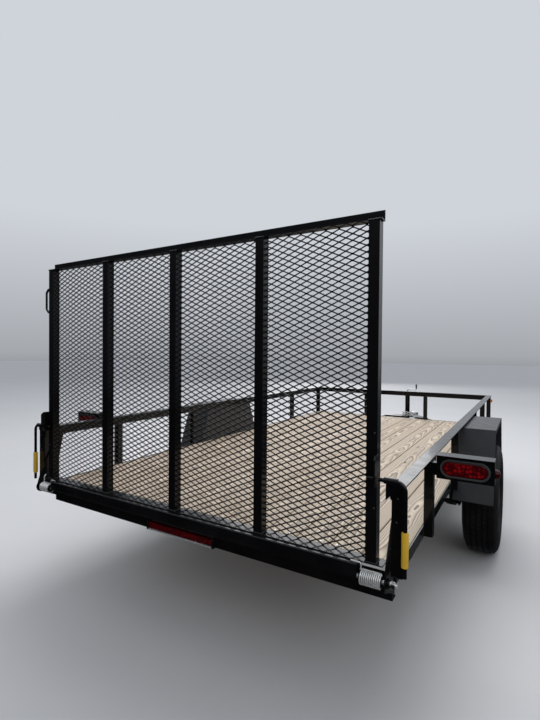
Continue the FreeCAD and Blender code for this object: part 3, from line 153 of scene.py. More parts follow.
# Effects that several finishes share
def mottle_group():
    """Soft patches between two values."""
    tree, given, result = effect_group("mottle", {"Scale": 5.0, "Low": 0.0, "High": 1.0}, {"Value": "Float"})
    cloud = noise(tree, given["Vector"], given["Scale"], 4.0, 0.6)
    tree.links.new(spread(tree, cloud, 0.32, 0.68, given["Low"], given["High"]), result["Value"])
    return tree


def dust_group():
    """Road dust: thin all over, thicker on top faces and near the ground."""
    tree, given, result = effect_group(
        "road_dust", {"Amount": 0.3, "Ground": 0.25, "Top": 0.8}, {"Mask": "Float"})
    up = axes(tree, put(tree, "ShaderNodeNewGeometry").outputs["Normal"])["Z"]
    low_down = spread(tree, axes(tree, given["Vector"])["Z"], given["Top"], given["Ground"])
    total = plus(tree, times(tree, low_down, 0.8), spread(tree, up, 0.5, 1.0, 0.0, 0.3), 0.1)
    broken = spread(tree, noise(tree, given["Vector"], 7.0, 8.0, 0.68), 0.35, 0.75)
    mask = calc(tree, "MULTIPLY", times(tree, total, broken), given["Amount"], clamp=True)
    tree.links.new(mask, result["Mask"])
    return tree


def soft_edge_group():
    """Rounded edges and a fine grain of the surface, as a normal."""
    tree, given, result = effect_group(
        "soft_edges", {"Edge": 0.001, "Grain": 400.0, "Depth": 0.1}, {"Normal": "Vector"})
    rounded = got(tree, "ShaderNodeBevel", {"Radius": given["Edge"]}, samples=4)
    grain = noise(tree, given["Vector"], given["Grain"], 3.0)
    bump = got(tree, "ShaderNodeBump",
               {"Height": grain, "Strength": given["Depth"], "Distance": 0.001, "Normal": rounded})
    tree.links.new(bump, result["Normal"])
    return tree


def ring_group():
    """Growth rings of a flat-sawn board that wander and taper along it, and its knots."""
    tree, given, result = effect_group(
        "growth_rings", {"Board": 0.0, "Middle": 0.0, "Ring": 0.005, "Taper": 0.02},
        {"Ring": "Float", "Fibre": "Float", "Knot": "Float"})
    place = axes(tree, given["Vector"])
    along = place["Y"]
    board = times(tree, given["Board"], 37.0)
    across = minus(tree, place["X"], given["Middle"])
    # Knots sit on a wide grid of cells along each board
    spot = vector(tree, plus(tree, times(tree, across, 5.0), board), times(tree, along, 1.6))
    cell = put(tree, "ShaderNodeTexVoronoi", {"Vector": spot, "Scale": 1.0}, voronoi_dimensions="2D").outputs
    near = times(tree, cell["Distance"], 0.2)
    chance = put(tree, "ShaderNodeSeparateColor", {"Color": cell["Color"]}).outputs["Red"]
    chosen = spread(tree, chance, 0.45, 0.5)
    knot = times(tree, spread(tree, near, 0.016, 0.006), chosen)
    pull = times(tree, spread(tree, near, 0.07, 0.0), chosen, 0.012)
    # The pith lies below the board and a little to one side, and wanders along it
    wander = noise(tree, vector(tree, board, along), 0.9)
    swell = noise(tree, vector(tree, plus(tree, board, across), along, 5.0), 3.1, 3.0)
    offset = times(tree, minus(tree, calc(tree, "FRACT", board), 0.5), 0.09)
    pith_x = plus(tree, offset, times(tree, minus(tree, wander, 0.5), 0.07))
    depth = plus(tree, times(tree, calc(tree, "FRACT", times(tree, board, 3.7)), 0.05), 0.06)
    pith_z = minus(tree, plus(tree, depth, times(tree, along, given["Taper"])),
                   times(tree, minus(tree, swell, 0.5), 0.03))
    below_top = minus(tree, 0.54, place["Z"])
    reach = plus(tree, diagonal(tree, minus(tree, across, pith_x), plus(tree, below_top, pith_z)), pull)
    phase = calc(tree, "FRACT", calc(tree, "DIVIDE", reach, given["Ring"]))
    late = times(tree, calc(tree, "POWER", phase, 1.5), spread(tree, phase, 1.0, 0.92))
    fibre_place = vector(tree, times(tree, across, 30.0), along, times(tree, place["Z"], 30.0))
    for label, value in (("Ring", late), ("Fibre", noise(tree, fibre_place, 9.0, 5.0)), ("Knot", knot)):
        tree.links.new(value, result[label])
    return tree


MOTTLE = mottle_group()
DUST = dust_group()
SOFT_EDGES = soft_edge_group()
RINGS = ring_group()


def effect(tree, group, values):
    """Outputs of a shared effect placed in a material."""
    return put(tree, "ShaderNodeGroup", values, node_tree=group).outputs


def mottled(tree, place, scale, low=0.0, high=1.0):
    """Soft patches placed in a material."""
    return effect(tree, MOTTLE, {"Vector": place, "Scale": scale, "Low": low, "High": high})["Value"]


def inside(material):
    """Tree and shader of a material, and the places on its object."""
    tree = material.node_tree
    return tree, tree.nodes["Principled BSDF"], put(tree, "ShaderNodeTexCoord").outputs["Object"]


def new_material(name):
    material = bpy.data.materials.new(name)
    material.use_nodes = True
    return material, *inside(material)


DUST_COLOUR = (0.17, 0.155, 0.135)
PATCHES = 6.0


def finish_of(name, colour, shade, rough, rough_high, dust=0.3, edge=0.001, grain=400.0, depth=0.1, **fixed):
    """Material with patches of two shades, dust and soft edges; fixed values go on the shader itself."""
    material, tree, shader, place = new_material(name)
    paint = tint(tree, mottled(tree, place, PATCHES), colour, shade)
    dirt = effect(tree, DUST, {"Vector": place, "Amount": dust})["Mask"]
    sheen = mottled(tree, place, PATCHES * 3, rough, rough_high)
    soft = effect(tree, SOFT_EDGES, {"Vector": place, "Edge": edge, "Grain": grain, "Depth": depth})["Normal"]
    tree.links.new(tint(tree, dirt, paint, DUST_COLOUR), shader.inputs["Base Color"])
    tree.links.new(calc(tree, "MULTIPLY_ADD", dirt, 0.35, sheen, clamp=True), shader.inputs["Roughness"])
    tree.links.new(soft, shader.inputs["Normal"])
    for key, value in fixed.items():
        shader.inputs[key.replace("_", " ")].default_value = value
    return material


def pine_boards():
    """Fresh pale pine with sharp latewood lines, darker knots and grey dust in places."""
    material, tree, shader, place = new_material("pine_boards")
    board = put(tree, "ShaderNodeAttribute", attribute_name="board").outputs["Fac"]
    middle = put(tree, "ShaderNodeAttribute", attribute_name="middle").outputs["Fac"]
    wood = effect(tree, RINGS,
                  {"Vector": place, "Board": board, "Middle": middle, "Ring": 0.0068, "Taper": 0.016})
    pale = tint(tree, board, (0.70, 0.59, 0.46), (0.565, 0.46, 0.335))
    pale = tint(tree, mottled(tree, place, 2.2, 0.0, 0.45), pale, (0.575, 0.45, 0.33))
    streaked = tint(tree, spread(tree, wood["Fibre"], 0.45, 0.8, 0.0, 0.35), pale, (0.36, 0.27, 0.19))
    ringed = tint(tree, wood["Ring"], streaked, (0.050, 0.018, 0.004))
    knotted = tint(tree, times(tree, wood["Knot"], 0.85), ringed, (0.16, 0.075, 0.035))
    greyed = tint(tree, mottled(tree, place, 4.0, 0.0, 0.1), knotted, (0.40, 0.37, 0.33))
    height = plus(tree, wood["Fibre"], times(tree, wood["Ring"], 0.6))
    bump = got(tree, "ShaderNodeBump", {"Height": height, "Strength": 0.35, "Distance": 0.0008})
    tree.links.new(greyed, shader.inputs["Base Color"])
    tree.links.new(spread(tree, wood["Ring"], 0.0, 1.0, 0.68, 0.5), shader.inputs["Roughness"])
    tree.links.new(bump, shader.inputs["Normal"])
    return material


def lens_finish(name, colour, shade, painted_glint, cells, gloss=0.5):
    """Moulded lens with small prisms behind a glossy face, and painted glints on the prisms where the lamps
    lie.
    """
    material = finish_of(name, colour, shade, 0.08, 0.16, dust=0.04, edge=0.0008, grain=300.0, depth=0.02,
                         Specular_IOR_Level=gloss, Coat_Weight=gloss * 0.8, Coat_Roughness=0.04)
    tree, shader, place = inside(material)
    prism = got(tree, "ShaderNodeTexVoronoi", {"Vector": place, "Scale": cells, "Randomness": 0.6})
    lit = put(tree, "ShaderNodeAttribute", attribute_name="glint_area").outputs["Fac"]
    base, soft = (shader.inputs[label].links[0].from_socket for label in ("Base Color", "Normal"))
    # Painted glints: lighter prism spots that stand in for light off the reflector behind the lens
    spot = times(tree, spread(tree, prism, 0.62, 0.12), lit)
    bump = got(tree, "ShaderNodeBump", {"Height": prism, "Strength": 0.35, "Distance": 0.002, "Normal": soft})
    tree.links.new(tint(tree, spot, base, painted_glint), shader.inputs["Base Color"])
    tree.links.new(bump, shader.inputs["Normal"])
    return material


BLACK = finish_of("gloss_black_paint", (0.0026, 0.0027, 0.0034), (0.0048, 0.0048, 0.0058), 0.16, 0.27,
                  dust=0.06, edge=0.0016, grain=520.0, depth=0.05,
                  Specular_IOR_Level=0.22, Coat_Weight=0.25, Coat_Roughness=0.06)
# The fenders' satin black paint: its base is lighter and bluer than the other black paint, as a painted sky
# reflection on the fenders' faces
FENDER_PAINT_WITH_REFLECTION = finish_of("fender_paint_with_painted_reflection", (0.018, 0.019, 0.023), (0.026, 0.027, 0.031), 0.34, 0.46,
                   dust=0.10, edge=0.0030, grain=420.0, depth=0.08, Specular_IOR_Level=0.55)
STRAND = finish_of("expanded_metal_paint", (0.0060, 0.0046, 0.0040), (0.0100, 0.0078, 0.0066), 0.24, 0.38,
                   dust=0.06, edge=0.0006, grain=700.0, depth=0.12)
WELD = finish_of("weld_beads", (0.004, 0.004, 0.0046), (0.007, 0.0068, 0.007), 0.22, 0.38,
                 dust=0.1, edge=0.0004, grain=900.0, depth=0.2)
ZINC = finish_of("zinc_plate", (0.80, 0.81, 0.80), (0.62, 0.63, 0.63), 0.2, 0.36,
                 dust=0.1, edge=0.0008, grain=650.0, depth=0.05, Metallic=1.0)
BRIGHT = finish_of("spring_steel", (0.92, 0.93, 0.92), (0.78, 0.79, 0.78), 0.16, 0.28,
                   dust=0.05, edge=0.0004, grain=900.0, depth=0.04, Metallic=0.55)
SILVER = finish_of("rim_silver", (0.50, 0.505, 0.52), (0.44, 0.445, 0.455), 0.28, 0.4,
                   dust=0.45, edge=0.0014, grain=600.0, depth=0.05, Metallic=0.75)
HUB = finish_of("hub_steel", (0.05, 0.05, 0.052), (0.09, 0.085, 0.08), 0.35, 0.55,
                dust=0.4, edge=0.001, grain=500.0, depth=0.12, Metallic=0.4)
TYRE = finish_of("tyre_rubber", (0.0045, 0.0046, 0.0058), (0.0075, 0.0075, 0.0085), 0.38, 0.55,
                 dust=0.06, edge=0.0012, grain=900.0, depth=0.15, Specular_IOR_Level=0.16)
RUBBER = finish_of("grommet_rubber", (0.028, 0.029, 0.031), (0.045, 0.046, 0.048), 0.5, 0.68,
                   dust=0.2, edge=0.001, grain=800.0, depth=0.12)
YELLOW = finish_of("yellow_vinyl", (0.72, 0.44, 0.018), (0.64, 0.38, 0.015), 0.34, 0.5,
                   dust=0.06, edge=0.0008, grain=260.0, depth=0.15)
# The third colour of each lens is its painted glint, a lighter red or amber on the prisms over the lamps
RED = lens_finish("red_lens", (0.07, 0.001, 0.003), (0.035, 0.001, 0.002), (0.36, 0.004, 0.008), 70.0, 0.2)
AMBER = lens_finish("amber_lens", (0.72, 0.20, 0.015), (0.60, 0.15, 0.01), (0.9, 0.4, 0.05), 150.0)
PINE = pine_boards()
FINISHES = {
    "black_paint": BLACK, "zinc": ZINC, "pine": PINE, "yellow_vinyl": YELLOW, "black_rubber": RUBBER,
    "red_lens": RED, "amber_lens": AMBER, "tyre_rubber": TYRE, "rim_silver": SILVER, "hub_steel": HUB,
}
SLOT_OF = {row["node"]: row["material_slot"] for row in frame["record"]["subparts"]}
# The fenders take the lighter copy of the black paint, which carries the painted reflection
for label, node in NODES.items():
    node.data.materials.clear()
    node.data.materials.append(FENDER_PAINT_WITH_REFLECTION if label.startswith("fender") else FINISHES[SLOT_OF[label]])


# Pieces: each is a plain mesh with its place in it, on the body of what it dresses
def piece_from(name, mesh, material, body, nodes=()):
    """Object of a finished mesh, which may take the place of nodes."""
    if not mesh.materials:
        mesh.materials.append(material)
    piece = bpy.data.objects.new(name, mesh)
    bpy.context.scene.collection.objects.link(piece)
    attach(piece, body)
    if nodes:
        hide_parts(*nodes)


def smoothed(mesh, degrees=38):
    """Mesh shaded smooth, with its sharper corners kept."""
    mesh.shade_smooth()
    mesh.set_sharp_from_angle(angle=math.radians(degrees))
    return mesh


def grown(name, tree, sizes, body, nodes=(), source=None, smooth=False):
    """Piece that a geometry tree makes, from its named sizes and perhaps from a source."""
    holder = bpy.data.objects.new(name + "_holder", source or bpy.data.meshes.new(name + "_start"))
    bpy.context.scene.collection.objects.link(holder)
    modifier = holder.modifiers.new("grow", "NODES")
    modifier.node_group = tree
    for item in tree.interface.items_tree:
        if item.in_out == "INPUT" and item.name in sizes:
            modifier[item.identifier] = sizes[item.name]
    bpy.context.view_layer.update()
    ready = holder.evaluated_get(bpy.context.evaluated_depsgraph_get())
    mesh = bpy.data.meshes.new_from_object(ready)
    mesh.name = name
    bpy.data.objects.remove(holder)
    if smooth:
        smoothed(mesh)
    else:
        mesh.shade_flat()
    piece_from(name, mesh, None, body, nodes)


def runs_mesh(name, runs):
    """Straight runs through the points of each row, as edges."""
    points, edges = [], []
    for run in runs:
        first = len(points)
        points += [tuple(point) for point in run]
        edges += [(first + k, first + k + 1) for k in range(len(run) - 1)]
    mesh = bpy.data.meshes.new(name)
    mesh.from_pydata(points, edges, [])
    return mesh


def on_left(points):
    """The same points on the trailer's left side."""
    return [(-x, y, z) for x, y, z in points]


def spun(name, profile, centre, axis="x", side=1, steps=64, closed=False):
    """Mesh of a profile turned about a line through centre: rows are the place along it and the radius."""
    work = bmesh.new()
    rows = []
    for along, radius in profile:
        offset = Vector((side * along, 0, radius)) if axis == "x" else Vector((radius, 0, along))
        rows.append(work.verts.new(Vector(centre) + offset))
    pairs = list(zip(rows, rows[1:])) + ([(rows[-1], rows[0])] if closed else [])
    edges = [work.edges.new(pair) for pair in pairs]
    line = (1, 0, 0) if axis == "x" else (0, 0, 1)
    bmesh.ops.spin(work, geom=rows + edges, cent=centre, axis=line, angle=math.tau, steps=steps)
    bmesh.ops.remove_doubles(work, verts=work.verts, dist=1e-5)
    bmesh.ops.recalc_face_normals(work, faces=work.faces)
    mesh = bpy.data.meshes.new(name)
    work.to_mesh(mesh)
    work.free()
    return smoothed(mesh)


def turned(name, profile, centre, material, body, slot, nodes=(), **turning):
    """Piece of a profile turned about a line through centre."""
    piece_from(name, spun(name, profile, centre, **turning), material, body, nodes)


# Steps that several geometry trees share
def union(tree, *parts):
    """Several geometries joined."""
    node = tree.nodes.new("GeometryNodeJoinGeometry")
    for part in parts:
        tree.links.new(part, node.inputs[0])
    return node.outputs[0]


def moved(tree, geometry, **changes):
    """Geometry with a new Translation, Rotation or Scale."""
    return got(tree, "GeometryNodeTransform", {"Geometry": geometry, **changes})


def mirrored(tree, geometry):
    """Geometry and its mirror image on the trailer's left side."""
    other = moved(tree, geometry, Scale=(-1, 1, 1))
    return union(tree, geometry, got(tree, "GeometryNodeFlipFaces", {"Mesh": other}))


def repeated(tree, points, shape, **changes):
    """Shape at each of the points, perhaps with a Rotation or Scale."""
    return got(tree, "GeometryNodeInstanceOnPoints", {"Points": points, "Instance": shape, **changes})


def in_line(tree, count, start, step):
    """Points in a straight row."""
    return got(tree, "GeometryNodeMeshLine", {"Count": count, "Start Location": start, "Offset": step},
               mode="OFFSET")


def by_chance(tree, values):
    """Random value for each point or piece."""
    return put(tree, "FunctionNodeRandomValue", values, data_type="FLOAT").outputs[1]


def ring_of(tree, count, radius):
    """Points round a circle."""
    return got(tree, "GeometryNodeMeshCircle", {"Vertices": count, "Radius": radius})


def block(tree, wide, long, high):
    return got(tree, "GeometryNodeMeshCube", {"Size": vector(tree, wide, long, high)})


def disc(tree, sides, radius, high):
    return got(tree, "GeometryNodeMeshCylinder", {"Vertices": sides, "Radius": radius, "Depth": high})


def eased(tree, curve, radius, count):
    """Curve with its corners rounded."""
    return got(tree, "GeometryNodeFilletCurve",
               {"Curve": curve, "Radius": radius, "Count": count, "Limit Radius": True}, mode="POLY")


def rectangle(tree, wide, high):
    return got(tree, "GeometryNodeCurvePrimitiveQuadrilateral", {"Width": wide, "Height": high})


def source_runs(tree, given):
    """The source's edges as curves."""
    return got(tree, "GeometryNodeMeshToCurve", {"Mesh": given["Geometry"]})


def drawn_out(tree, curve, section):
    """Section drawn along a curve, closed at its ends."""
    return got(tree, "GeometryNodeCurveToMesh", {"Curve": curve, "Profile Curve": section, "Fill Caps": True})


def round_bar(tree, curve, radius, sides):
    """Round bar along a curve, closed at its ends."""
    section = got(tree, "GeometryNodeCurvePrimitiveCircle", {"Resolution": sides, "Radius": radius})
    return drawn_out(tree, curve, section)


def ready_tree(tree, geometry, material, result):
    """Last nodes of every geometry tree."""
    real = got(tree, "GeometryNodeRealizeInstances", {"Geometry": geometry})
    painted = got(tree, "GeometryNodeSetMaterial", {"Geometry": real, "Material": material})
    tree.links.new(painted, result["Geometry"])
    return tree


# Deck boards: planks with eased edges, laid side by side
def board_tree():
    tree, given, result = shape_group("deck_boards", {
        "Boards": 14, "Pitch": 0.139, "Width": 0.137, "Thickness": 0.038, "Length": 3.62, "Edge": 0.0042,
        "Warp": 0.0006, "Seed": 4, "Start": (0, 0, 0)})
    end = eased(tree, rectangle(tree, given["Width"], given["Thickness"]), given["Edge"], 3)
    line = got(tree, "GeometryNodeCurvePrimitiveLine", {"End": vector(tree, 0, given["Length"])})
    path = got(tree, "GeometryNodeResampleCurve", {"Curve": line, "Count": 40})
    row = in_line(tree, given["Boards"], given["Start"], vector(tree, given["Pitch"]))
    laid = repeated(tree, row, drawn_out(tree, path, end))
    chance = by_chance(tree, {"Seed": given["Seed"], "ID": got(tree, "GeometryNodeInputIndex")})
    middle = axes(tree, got(tree, "GeometryNodeInputPosition"))["X"]
    for label, value in (("board", chance), ("middle", middle)):
        laid = got(tree, "GeometryNodeStoreNamedAttribute", {"Geometry": laid, "Name": label, "Value": value},
                   data_type="FLOAT", domain="INSTANCE")
    real = got(tree, "GeometryNodeRealizeInstances", {"Geometry": laid})
    own = got(tree, "GeometryNodeInputNamedAttribute", {"Name": "board"}, data_type="FLOAT")
    along = axes(tree, got(tree, "GeometryNodeInputPosition"))["Y"]
    wave = noise(tree, vector(tree, times(tree, own, 50.0), along), 1.3)
    lift = times(tree, minus(tree, wave, 0.62), times(tree, given["Warp"], 6.0))
    bent = got(tree, "GeometryNodeSetPosition", {"Geometry": real, "Offset": vector(tree, 0, 0, lift)})
    return ready_tree(tree, bent, PINE, result)


BOARDS = 14
BOARD_GAP = 0.0048
deck_low, deck_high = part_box("deck_boards")
board_pitch = (deck_high.x - deck_low.x + BOARD_GAP) / BOARDS
board_wide = board_pitch - BOARD_GAP
grown("deck_boards_grained", board_tree(),
      {"Boards": BOARDS, "Pitch": board_pitch, "Width": board_wide, "Thickness": deck_high.z - deck_low.z,
       "Length": deck_high.y - deck_low.y,
       "Start": (deck_low.x + board_wide / 2, deck_low.y, (deck_low.z + deck_high.z) / 2)},
      "chassis", ["deck_boards"])


# Expanded metal of the gate: crossing strands with a bond where they meet
def expanded_tree():
    tree, given, result = shape_group("expanded_metal", {
        "Columns": 36, "Rows": 48, "Long": 0.0513, "Short": 0.0238, "Strand": 0.0037, "Depth": 0.0022,
        "Bond": 0.009, "Tilt": 0.35, "Middle": (0, 0, 0)})
    half_long, half_short = times(tree, given["Long"], 0.5), times(tree, given["Short"], 0.5)
    bar = block(tree, diagonal(tree, half_long, half_short), given["Depth"], given["Strand"])
    slope = calc(tree, "ARCTAN2", half_short, half_long)
    arms = []
    for across, upward in ((1, 1), (1, -1), (-1, 1), (-1, -1)):
        at = vector(tree, times(tree, given["Long"], 0.25 * across), 0.0,
                    times(tree, given["Short"], 0.25 * upward))
        turn = vector(tree, given["Tilt"], times(tree, slope, -across * upward))
        arms.append(moved(tree, bar, Translation=at, Rotation=turn))
    bond = block(tree, given["Bond"], given["Depth"], times(tree, given["Strand"], 1.45))
    bond = moved(tree, bond, Rotation=vector(tree, given["Tilt"]))
    layers = []
    for shape, extra in ((union(tree, union(tree, *arms), bond), 0), (bond, 1)):
        count_x, count_y = plus(tree, given["Columns"], extra), plus(tree, given["Rows"], extra)
        grid = got(tree, "GeometryNodeMeshGrid",
                   {"Size X": times(tree, minus(tree, count_x, 1.0), given["Long"]),
                    "Size Y": times(tree, minus(tree, count_y, 1.0), given["Short"]),
                    "Vertices X": count_x, "Vertices Y": count_y})
        layers.append(repeated(tree, moved(tree, grid, Rotation=vector(tree, QUARTER)), shape))
    placed = moved(tree, union(tree, *layers), Translation=given["Middle"])
    return ready_tree(tree, placed, STRAND, result)


DIAMOND_LONG, DIAMOND_SHORT, STRAND_WIDE = 0.0513, 0.0238, 0.0048
low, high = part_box("gate_mesh")
mesh_wide, mesh_high = high.x - low.x, high.z - low.z
columns, rows = round(mesh_wide / DIAMOND_LONG), round(mesh_high / DIAMOND_SHORT)
grown("gate_mesh_expanded", expanded_tree(),
      {"Columns": columns, "Rows": rows, "Long": (mesh_wide - STRAND_WIDE) / columns,
       "Short": (mesh_high - STRAND_WIDE) / rows, "Strand": STRAND_WIDE, "Middle": tuple((low + high) / 2)},
      "gate", ["gate_mesh"])


# Bent bars: straight runs with rounded bends, as a round bar
def bent_bar_tree(material):
    tree, given, result = shape_group(
        "bent_bars", {"Geometry": None, "Radius": 0.006, "Bend": 0.02, "Sides": 16, "Steps": 8})
    bends = eased(tree, source_runs(tree, given), given["Bend"], given["Steps"])
    return ready_tree(tree, round_bar(tree, bends, given["Radius"], given["Sides"]), material, result)


def bars(name, runs, radius, bend, material, body, nodes=(), sides=16):
    grown(name, bent_bar_tree(material), {"Radius": radius, "Bend": bend, "Sides": sides},
          body, nodes, runs_mesh(name + "_runs", runs), smooth=True)


# Bolts, nuts and screws: a head on a washer at each place
def fastener_tree(material):
    tree, given, result = shape_group("fasteners", {
        "Geometry": None, "Sides": 6, "Radius": 0.01, "Height": 0.008, "Washer": 0.014, "Thickness": 0.002,
        "Turn": (0, 0, 0)})
    sides, radius, thick = given["Sides"], given["Radius"], given["Thickness"]
    head_high = times(tree, given["Height"], 0.8)
    chamfer = got(tree, "GeometryNodeMeshCone",
                  {"Vertices": sides, "Radius Top": times(tree, radius, 0.8), "Radius Bottom": radius,
                   "Depth": times(tree, given["Height"], 0.2)})
    parts = [moved(tree, shape, Translation=vector(tree, 0, 0, up)) for shape, up in (
        (disc(tree, 20, given["Washer"], thick), times(tree, thick, 0.5)),
        (disc(tree, sides, radius, head_high), plus(tree, thick, times(tree, head_high, 0.5))),
        (chamfer, plus(tree, thick, head_high)))]
    set_on = repeated(tree, given["Geometry"], union(tree, *parts), Rotation=given["Turn"])
    return ready_tree(tree, set_on, material, result)


TURNS = {"up": (0, 0, 0), "down": (math.pi, 0, 0), "right": (0, QUARTER, 0), "left": (0, -QUARTER, 0),
         "rear": (QUARTER, 0, 0)}


def fasteners(name, places, facing, material, body, slot, **sizes):
    """Fasteners at places, with their heads facing one way."""
    mesh = bpy.data.meshes.new(name + "_places")
    mesh.from_pydata([tuple(place) for place in places], [], [])
    grown(name, fastener_tree(material), {"Turn": TURNS[facing], **sizes}, body, (), mesh)


# Weld beads: overlapping drops along short runs
def weld_tree():
    tree, given, result = shape_group(
        "weld_beads", {"Geometry": None, "Pitch": 0.0032, "Radius": 0.0032, "Seed": 3})
    stepped = got(tree, "GeometryNodeResampleCurve",
                  {"Curve": source_runs(tree, given), "Length": given["Pitch"]}, mode="LENGTH")
    drop = got(tree, "GeometryNodeMeshIcoSphere", {"Radius": given["Radius"], "Subdivisions": 2})
    size = by_chance(tree, {2: 0.82, 3: 1.12, "Seed": given["Seed"]})
    return ready_tree(tree, repeated(tree, stepped, drop, Scale=size), WELD, result)


def welds(name, runs, body):
    grown(name, weld_tree(), {}, body, (), runs_mesh(name + "_runs", runs), smooth=True)


# Wheels: tyre with a ribbed tread, hub with a rounded cap, lug nuts and valve
def tread_tree():
    tree, given, result = shape_group("tyre_tread", {
        "Geometry": None, "Ribs": 5, "Blocks": 72, "Crown": 0.3438, "Rib Width": 0.026, "Rib Pitch": 0.0318,
        "Sipe": 0.0014, "Height": 0.0085, "Middle": (0, 0, 0)})
    round_tyre = times(tree, given["Crown"], math.tau)
    length = minus(tree, calc(tree, "DIVIDE", round_tyre, given["Blocks"]), given["Sipe"])
    piece = block(tree, given["Rib Width"], length, given["Height"])
    ring = ring_of(tree, given["Blocks"], minus(tree, given["Crown"], times(tree, given["Height"], 0.5)))
    outward = got(tree, "FunctionNodeAlignEulerToVector", {"Vector": got(tree, "GeometryNodeInputPosition")},
                  axis="Z", pivot_axis="X")
    rib = repeated(tree, moved(tree, ring, Rotation=vector(tree, 0, QUARTER)), piece, Rotation=outward)
    first = times(tree, minus(tree, given["Ribs"], 1.0), -0.5, given["Rib Pitch"])
    row = in_line(tree, given["Ribs"], vector(tree, first), vector(tree, given["Rib Pitch"]))
    stagger = vector(tree, times(tree, got(tree, "GeometryNodeInputIndex"), math.radians(1.9)))
    tread = moved(tree, repeated(tree, row, rib, Rotation=stagger), Translation=given["Middle"])
    return ready_tree(tree, union(tree, given["Geometry"], tread), TYRE, result)


# Half of the tyre's outline: place across it and radius, from the bead to the tread
TYRE_HALF = [(0.076, 0.1925), (0.0765, 0.206), (0.082, 0.212), (0.0900, 0.2215), (0.0975, 0.2385),
             (0.1012, 0.256), (0.1020, 0.270), (0.1024, 0.2712), (0.1024, 0.2762), (0.1016, 0.2775),
             (0.1002, 0.293), (0.0965, 0.309), (0.0905, 0.3225), (0.0850, 0.3312), (0.0790, 0.3362)]
TYRE_PROFILE = TYRE_HALF + [(-across, radius) for across, radius in TYRE_HALF[::-1]]
HUB_PROFILE = [(-0.062, 0.0202), (-0.062, 0.038), (-0.060, 0.040), (0.003, 0.040), (0.004, 0.058),
               (0.006, 0.060), (0.0158, 0.060), (0.0158, 0.029), (0.058, 0.029), (0.061, 0.031),
               (0.064, 0.029), (0.069, 0.0275), (0.0725, 0.022), (0.0738, 0.012), (0.0740, 0.0)]
STEM_PROFILE = [(-0.012, 0.0), (-0.012, 0.0065), (0.006, 0.0062), (0.009, 0.0042), (0.030, 0.0040),
                (0.030, 0.0052), (0.038, 0.0050), (0.040, 0.0)]
LUGS, LUG_CIRCLE, LUG_OUT = 5, 0.0572, 0.024
STEM_OUT, STEM_DOWN = 0.030, 0.172
for side_name, side in SIDES:
    low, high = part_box("tyre_" + side_name)
    middle = (low + high) / 2
    wheel = "wheel_" + side_name
    carcass = spun("carcass_" + side_name, TYRE_PROFILE, middle, closed=True, steps=96)
    grown("tyre_%s_treaded" % side_name, tread_tree(), {"Middle": tuple(middle)}, wheel,
          ["tyre_" + side_name], carcass, smooth=True)
    turned("hub_%s_capped" % side_name, HUB_PROFILE, middle, HUB, wheel, "hub_steel", ["hub_" + side_name],
           side=side)
    turns = [Matrix.Rotation(-math.tau * k / LUGS, 3, "X") for k in range(LUGS)]
    lugs = [middle + turn @ Vector((side * LUG_OUT, 0, LUG_CIRCLE)) for turn in turns]
    fasteners("lug_nuts_" + side_name, lugs, side_name, ZINC, wheel, "zinc",
              Radius=0.0115, Height=0.017, Washer=0.0135, Thickness=0.0035)
    turned("valve_stem_" + side_name, STEM_PROFILE, middle + Vector((side * STEM_OUT, 0, -STEM_DOWN)), RUBBER,
           wheel, "black_rubber", side=side, steps=20)


# Torsion springs: wound wire round the hinge pins, with the tang on the gate and the one at the hinge plate
def coil_tree():
    tree, given, result = shape_group("torsion_coils", {
        "Geometry": None, "Turns": 11.0, "Length": 0.0715, "Radius": 0.02275, "Wire": 0.00325,
        "Start": (0, 0, 0), "Bend": 0.006})
    spiral = got(tree, "GeometryNodeCurveSpiral",
                 {"Resolution": 28, "Rotations": given["Turns"], "Start Radius": given["Radius"],
                  "End Radius": given["Radius"], "Height": given["Length"]})
    upright = moved(tree, spiral, Rotation=vector(tree, 0, 0, math.pi))
    along = moved(tree, upright, Translation=given["Start"], Rotation=vector(tree, 0, QUARTER))
    tangs = eased(tree, source_runs(tree, given), given["Bend"], 6)
    wire = union(tree, *(round_bar(tree, curve, given["Wire"], 10) for curve in (along, tangs)))
    return ready_tree(tree, mirrored(tree, wire), BRIGHT, result)


WIRE = 0.0026
COIL = 0.0233
COIL_LONG = 0.078
pin_low, pin_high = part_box("hinge_pins")
pin_y, pin_z = (pin_low.y + pin_high.y) / 2, (pin_low.z + pin_high.z) / 2
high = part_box("torsion_springs")[1]
coil_start = high.x - COIL_LONG
tang_x, tang_z = coil_start + 0.004, high.z - 0.0055 + WIRE
tang = [(tang_x, pin_y, pin_z + COIL), (tang_x, pin_y, tang_z), (tang_x - 0.036, pin_y, tang_z)]
grown("torsion_springs_wound", coil_tree(),
      {"Length": COIL_LONG - 2 * WIRE, "Radius": COIL, "Wire": WIRE,
       "Start": (coil_start + WIRE, pin_y, pin_z)},
      "gate", ["torsion_springs"], runs_mesh("gate_tangs", [tang]), smooth=True)
SLEEVE = [(0.0, 0.0100), (0.0, 0.0172), (0.001, 0.0182), (COIL_LONG - 0.001, 0.0182), (COIL_LONG, 0.0172),
          (COIL_LONG, 0.0100)]
for side_name, side in SIDES:
    turned("spring_sleeve_" + side_name, SLEEVE, (side * coil_start, pin_y, pin_z), BLACK,
           "gate", "black_paint", side=side, steps=40, closed=True)
low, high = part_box("spring_tangs")
hook_x, hook_y = high.x - 0.003, (low.y + high.y) / 2
hook = [(hook_x, hook_y, low.z), (hook_x, hook_y, high.z - 0.012), (hook_x, hook_y + 0.010, high.z - 0.002)]
bars("spring_hooks", [hook, on_left(hook)], 0.003, 0.010, BRIGHT, "chassis", ["spring_tangs"])

